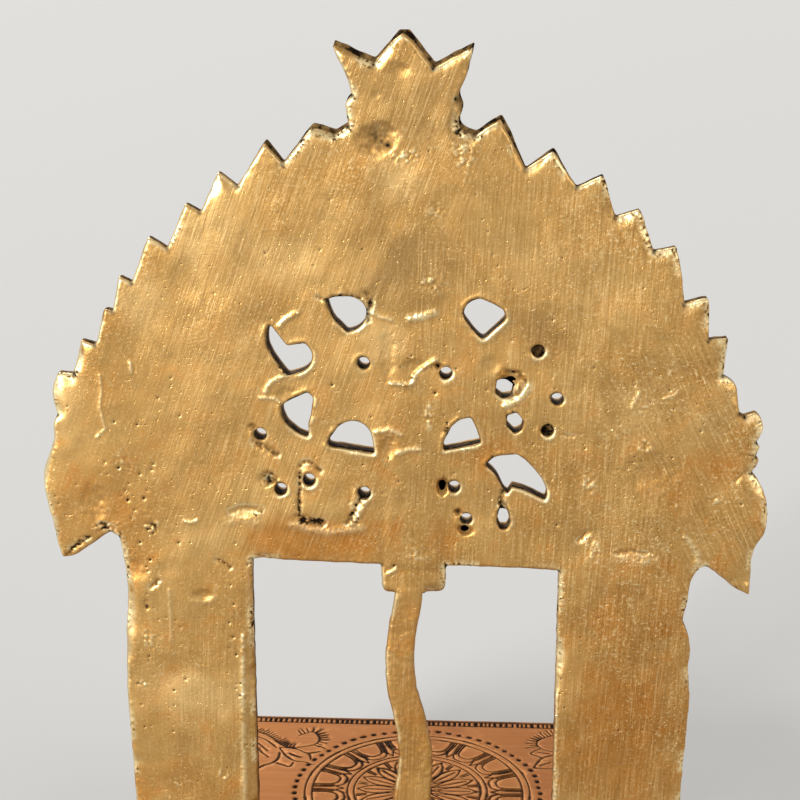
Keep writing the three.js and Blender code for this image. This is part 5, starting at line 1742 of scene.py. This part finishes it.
def makeAprons():
    d = apronDims
    for name, axis, sign in (("front", 1, -1), ("rear", 1, 1), ("right", 0, -1), ("left", 0, 1)):
        node = f"apron_{name}"
        low, high = nodeBox(node)
        middle = (low[axis] + high[axis]) / 2
        loops = [castOutline(sectionLoops(node, axis, middle)[0], 0.55, 0.25, 0.6, 0.08, 81)]
        across = 1 - axis
        lobe = (high[across] - low[across] - 2 * d["tongue"]) / d["lobes"][name]
        kept = {}

        def face(u, v, edge):
            relief = apronFace(u + 0.5 * lobe, v, edge, high[2], lobe)
            kept["soot"] = 0.6 * (1 - ease(relief, 0.02, 0.2))
            return d["half"] - d["relief"] + relief

        info = slabParts(loops, d["spacing"], face, -d["half"], d["rounding"], seed=82)
        points = np.empty((len(info["u"]), 3))
        points[:, across] = info["u"]
        points[:, axis] = middle + sign * info["w"]
        points[:, 2] = info["v"]
        soot = padded(kept["soot"], len(points), 0.3)
        addPiece(f"{node}_strip", points, info["faces"], "base", "cast_brass", [node], soot=soot)
    print("aprons made")

makeAprons()

# Legs, screws, sockets and rivets

legDims = {
    "around": 64,
    "axis": 8.6,  # from the leg's outer sides to its middle
    "outside": 4.3,  # radius that parts the outside from the bore
    "neck": 25.2,  # top of the turned part, inside the block
    "bore": [(4.15, 5.6), (4.15, 0.5), (4.5, 0.02), (7.0, 0.0)],  # counterbore of the screw: radius, height
    "block": (8, 24.9, 43),  # half width, bottom, top
    "blockRound": 0.8,
    "blockCells": 44,
    "rosette": 5.2,
    "petals": 8,
    "carved": 0.55,  # depth of the ground round the rosette
}

# The turned part of a leg, bore first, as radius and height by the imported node.
def legProfile(node, x, y):
    d = legDims
    co = meshPoints(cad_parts[node].data)
    radius = np.hypot(co[:, 0] - x, co[:, 1] - y)
    levels = np.unique(np.round(co[co[:, 2] < 24.6, 2], 2))
    outer = np.array([[radius[np.abs(co[:, 2] - z) < 0.02].max(), z] for z in levels])
    smooth = curveThrough(outer[outer[:, 0] > d["outside"]], 9)
    smooth = np.column_stack([np.minimum(smooth[:, 0], d["axis"]), np.clip(smooth[:, 1], 0.0, 26)])
    return np.vstack([d["bore"], smooth[smooth[:, 1] > 0.3], [[7.4, d["neck"]]]])

# Depth of the carving on the sides of a leg's block: a rosette with a button, left standing in a sunk ground,
# and a thin frame line round it.
def blockCarving(axis, cube):
    d = legDims
    if axis == 2:
        return np.zeros(len(cube))
    across, up = cube[:, 1 - axis] * 8, cube[:, 2] * 9 + 0.5
    out, turn = np.hypot(across, up), np.arctan2(up, across)
    edge = d["rosette"] * (0.78 + 0.22 * np.abs(np.cos(d["petals"] * turn / 2)))
    petal = 1 - ease(out, edge - 0.5, edge)
    groove = bell((np.mod(turn * d["petals"] / (2 * np.pi), 1) - 0.5) * 9, 1.6) * (out > 1.6)
    button = 1 - ease(out, 1.3, 1.7)
    raised = np.maximum(petal * (1 - 0.7 * groove) * 0.8, button)
    ground = (np.abs(across) <= 7.2) * ease(8 - np.abs(across), 0.6, 1.4)
    line = bell(np.maximum(np.abs(across) / 6.6, np.abs(up) / 7.2) - 1, 0.05)
    return d["carved"] * (1 - raised) * ground + 0.2 * line

def makeLegs():
    d = legDims
    half, low, high = d["block"]
    for end, sy in (("front", -1), ("rear", 1)):
        for label, sx in (("right", -1), ("left", 1)):
            node = f"leg_{end}_{label}"
            x, y = (np.abs(nodeBox(node)).max(0)[:2] - d["axis"]) * [sx, sy]
            profile = legProfile(node, x, y)
            height = profile[:, 1:]
            ripple = 0.03 * np.sin(height * 7) * (height > 6)
            share = 1 + ripple / profile[:, :1]
            turned = turnedSolid(x, y, profile, d["around"], d["bore"][0][1], d["neck"], share)
            block = roundedBox((x - half, y - half, low), (x + half, y + half, high), d["blockRound"],
                               d["blockCells"], blockCarving)
            points, faces = joinParts([turned, block[:2]])
            neck = np.repeat(np.clip((6.6 - profile[:, 0]) / 2.2, 0, 1) * 0.55, d["around"])
            addPiece(f"{node}_turned", points, faces, "base", "cast_brass", [node],
                     soot=np.concatenate([neck, [0.6, 0.3], np.clip(block[2] * 1.3, 0, 0.75)]))
            makeScrew(f"leg_screw_{end}_{label}", x, y)
    print("legs made")

screwDims = {
    "around": 48,
    # Under-head disc, shank and its chamfered tip: radius, height over the head's face
    "head": [(0.3, 1.0), (3.5, 1.0), (3.6, 1.2), (3.6, 2.4), (1.9, 2.4), (1.85, 3)],
    "shank": 1.85,
    "tip": (0.5, 1.35),  # length, end radius
    "half": 3.5,  # radius of the two half discs
    "slot": 0.45,  # half width of the driver slot between them
    # Their rows: share of the radius, height
    "rows": ((1, 1.1), (1, 0.35), (0.97, 0.12), (0.9, 0)),
}

# A leg screw: shank and head as a turned solid, and two half discs that leave the driver slot between them.
def makeScrew(node, x, y):
    d = screwDims
    low, high = nodeBox(node)
    foot, top = low[2], high[2]
    length, end = d["tip"]
    profile = [(radius, foot + z) for radius, z in d["head"]] + [(d["shank"], top - length), (end, top)]
    parts = [turnedSolid(x, y, profile, d["around"], foot + d["head"][0][1], top)]
    start = np.arcsin(d["slot"] / d["half"])
    t = np.linspace(start, np.pi - start, 26)
    for side in (-1, 1):
        rows = []
        for shrink, z in d["rows"]:
            across = d["half"] * shrink * np.cos(t)
            out = np.maximum(d["half"] * shrink * np.sin(t), d["slot"]) * side
            rows.append(np.column_stack([x + across, y + out, np.full(len(t), foot + z)]))
        middle = y + side * 1.6
        parts.append(ringSurface(np.stack(rows), [[x, middle, foot + d["rows"][0][1]]], [[x, middle, foot]]))
    points, faces = joinParts(parts)
    addPiece(f"{node}_turned", points, faces, "base", "screw_steel", [node])

makeLegs()

rivetDims = {
    "around": 40,
    "facets": (5, 0.03),  # hammer marks round the dome: count, depth
    # Flat tail under the socket's flange: radius, height over its end
    "tail": [(0.3, 0), (2.0, 0), (2.3, 0.2), (2.35, 0.9), (1.5, 1.1)],
    "shank": 1.5,
}

# Rivets: a hammered dome over the seat, a shank and a flat tail under the socket's flange.
def makeRivets():
    d = rivetDims
    angle = turnAngles(d["around"])
    count, deep = d["facets"]
    bend = np.linspace(0, np.pi / 2, 10)[:-1]
    for name in [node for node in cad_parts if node.startswith("socket_rivet")]:
        low, high = nodeBox(name)
        x, y = (low[:2] + high[:2]) / 2
        size, top = (high[0] - low[0]) / 2, high[2]
        dome = np.column_stack([size * np.cos(bend), seatTop + 0.02 + (top - seatTop - 0.05) * np.sin(bend)])
        tail = [(radius, low[2] + z) for radius, z in d["tail"]]
        profile = np.vstack([tail, [(d["shank"], seatTop)], dome, [(0.25, top - 0.04)]])
        facets = 1 + deep * np.cos(count * angle + x) * (profile[:, 1:] > seatTop)
        points, faces = turnedSolid(x, y, profile, d["around"], low[2], top - 0.03, facets)
        soot = np.repeat(0.7 * bell(profile[:, 0] - size, 0.25), d["around"])
        addPiece(f"{name}_hammered", points, faces, "base", "cast_brass", [name],
                 soot=np.concatenate([soot, [0.3, 0.0]]))

makeRivets()
for name in ("tenon_socket_left", "tenon_socket_right"):
    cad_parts[name].data.materials.clear()
    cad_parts[name].data.materials.append(metals["cast_brass"])
print("sockets and rivets made")

# Camera, light and floor

shot = {
    "camera": (-21.56, 462.75, 313.5),
    "turn": 3.0,  # degrees the view is turned from straight behind
    "down": 16.3,  # degrees it looks down
    "lens": 72,
    "sensor": 36,
    "clip": (0.01, 20),
}

# An object in the scene for some data, turned to look along a direction if there is one.
def placed(name, data, look=None):
    obj = bpy.data.objects.new(name, data)
    bpy.context.scene.collection.objects.link(obj)
    if look is not None:
        obj.rotation_mode = "QUATERNION"
        obj.rotation_quaternion = look.to_track_quat("-Z", "Y")
    return obj

def makeCamera():
    data = bpy.data.cameras.new("camera")
    data.lens = shot["lens"]
    data.sensor_width = shot["sensor"]
    data.clip_start, data.clip_end = shot["clip"]
    turn, down = np.radians(shot["turn"]), np.radians(shot["down"])
    look = Vector((np.sin(turn) * np.cos(down), -np.cos(turn) * np.cos(down), -np.sin(down)))
    obj = placed("camera", data, look)
    obj.location = Vector(shot["camera"]) * mm
    bpy.context.scene.camera = obj

def sunLight(name, toLight, width, strength):
    data = bpy.data.lights.new(name, "SUN")
    data.angle = np.radians(width)
    data.energy = strength
    placed(name, data, -Vector(toLight)).location = Vector(toLight)

stageDims = {
    "floorHalf": 20.0,
    "floorTone": (0.6, 0.595, 0.58, 1),
    "floorRough": 0.9,
    "roomTone": (1, 0.99, 0.97, 1),
    "background": 0.74,  # what camera, mirrors and glass see of the room
    "ambient": 0.42,
    # Name, direction to the light, width in degrees, strength
    "lights": [
        ("key", (0.6, 0.8, 0.27), 15, 3.3),
        ("rim", (-0.8, 0.5, 0.4), 30, 0.8),
        ("front", (0.45, -0.75, 0.75), 30, 1.6),
    ],
}

# A pale floor, an even pale room and three broad lights far away.
def makeStage():
    d = stageDims
    half = d["floorHalf"]
    mesh = bpy.data.meshes.new("floor")
    corners = [(-half, -half, 0), (half, -half, 0), (half, half, 0), (-half, half, 0)]
    mesh.from_pydata(corners, [], [[0, 1, 2, 3]])
    material, shader = newMaterial("paleFloor")
    shader.inputs["Base Color"].default_value = d["floorTone"]
    shader.inputs["Roughness"].default_value = d["floorRough"]
    mesh.materials.append(material)
    obj = placed("floor", mesh)
    world = bpy.data.worlds.new("studio")
    world.use_nodes = True
    tree = world.node_tree
    rays = tree.nodes.new("ShaderNodeLightPath")
    seen = 0.0
    for name in ("Is Camera Ray", "Is Glossy Ray", "Is Transmission Ray"):
        step = tree.nodes.new("ShaderNodeMath")
        step.operation = "MAXIMUM"
        feed(step, {0: rays.outputs[name], 1: seen})
        seen = step.outputs[0]
    level = tree.nodes.new("ShaderNodeMapRange")
    feed(level, {"Value": seen, "To Min": d["ambient"], "To Max": d["background"]})
    feed(tree.nodes["Background"], {0: d["roomTone"], 1: level.outputs[0]})
    bpy.context.scene.world = world
    for light in d["lights"]:
        sunLight(*light)
    bpy.context.scene.view_settings.view_transform = "Standard"

makeCamera()
makeStage()
print("stage set")
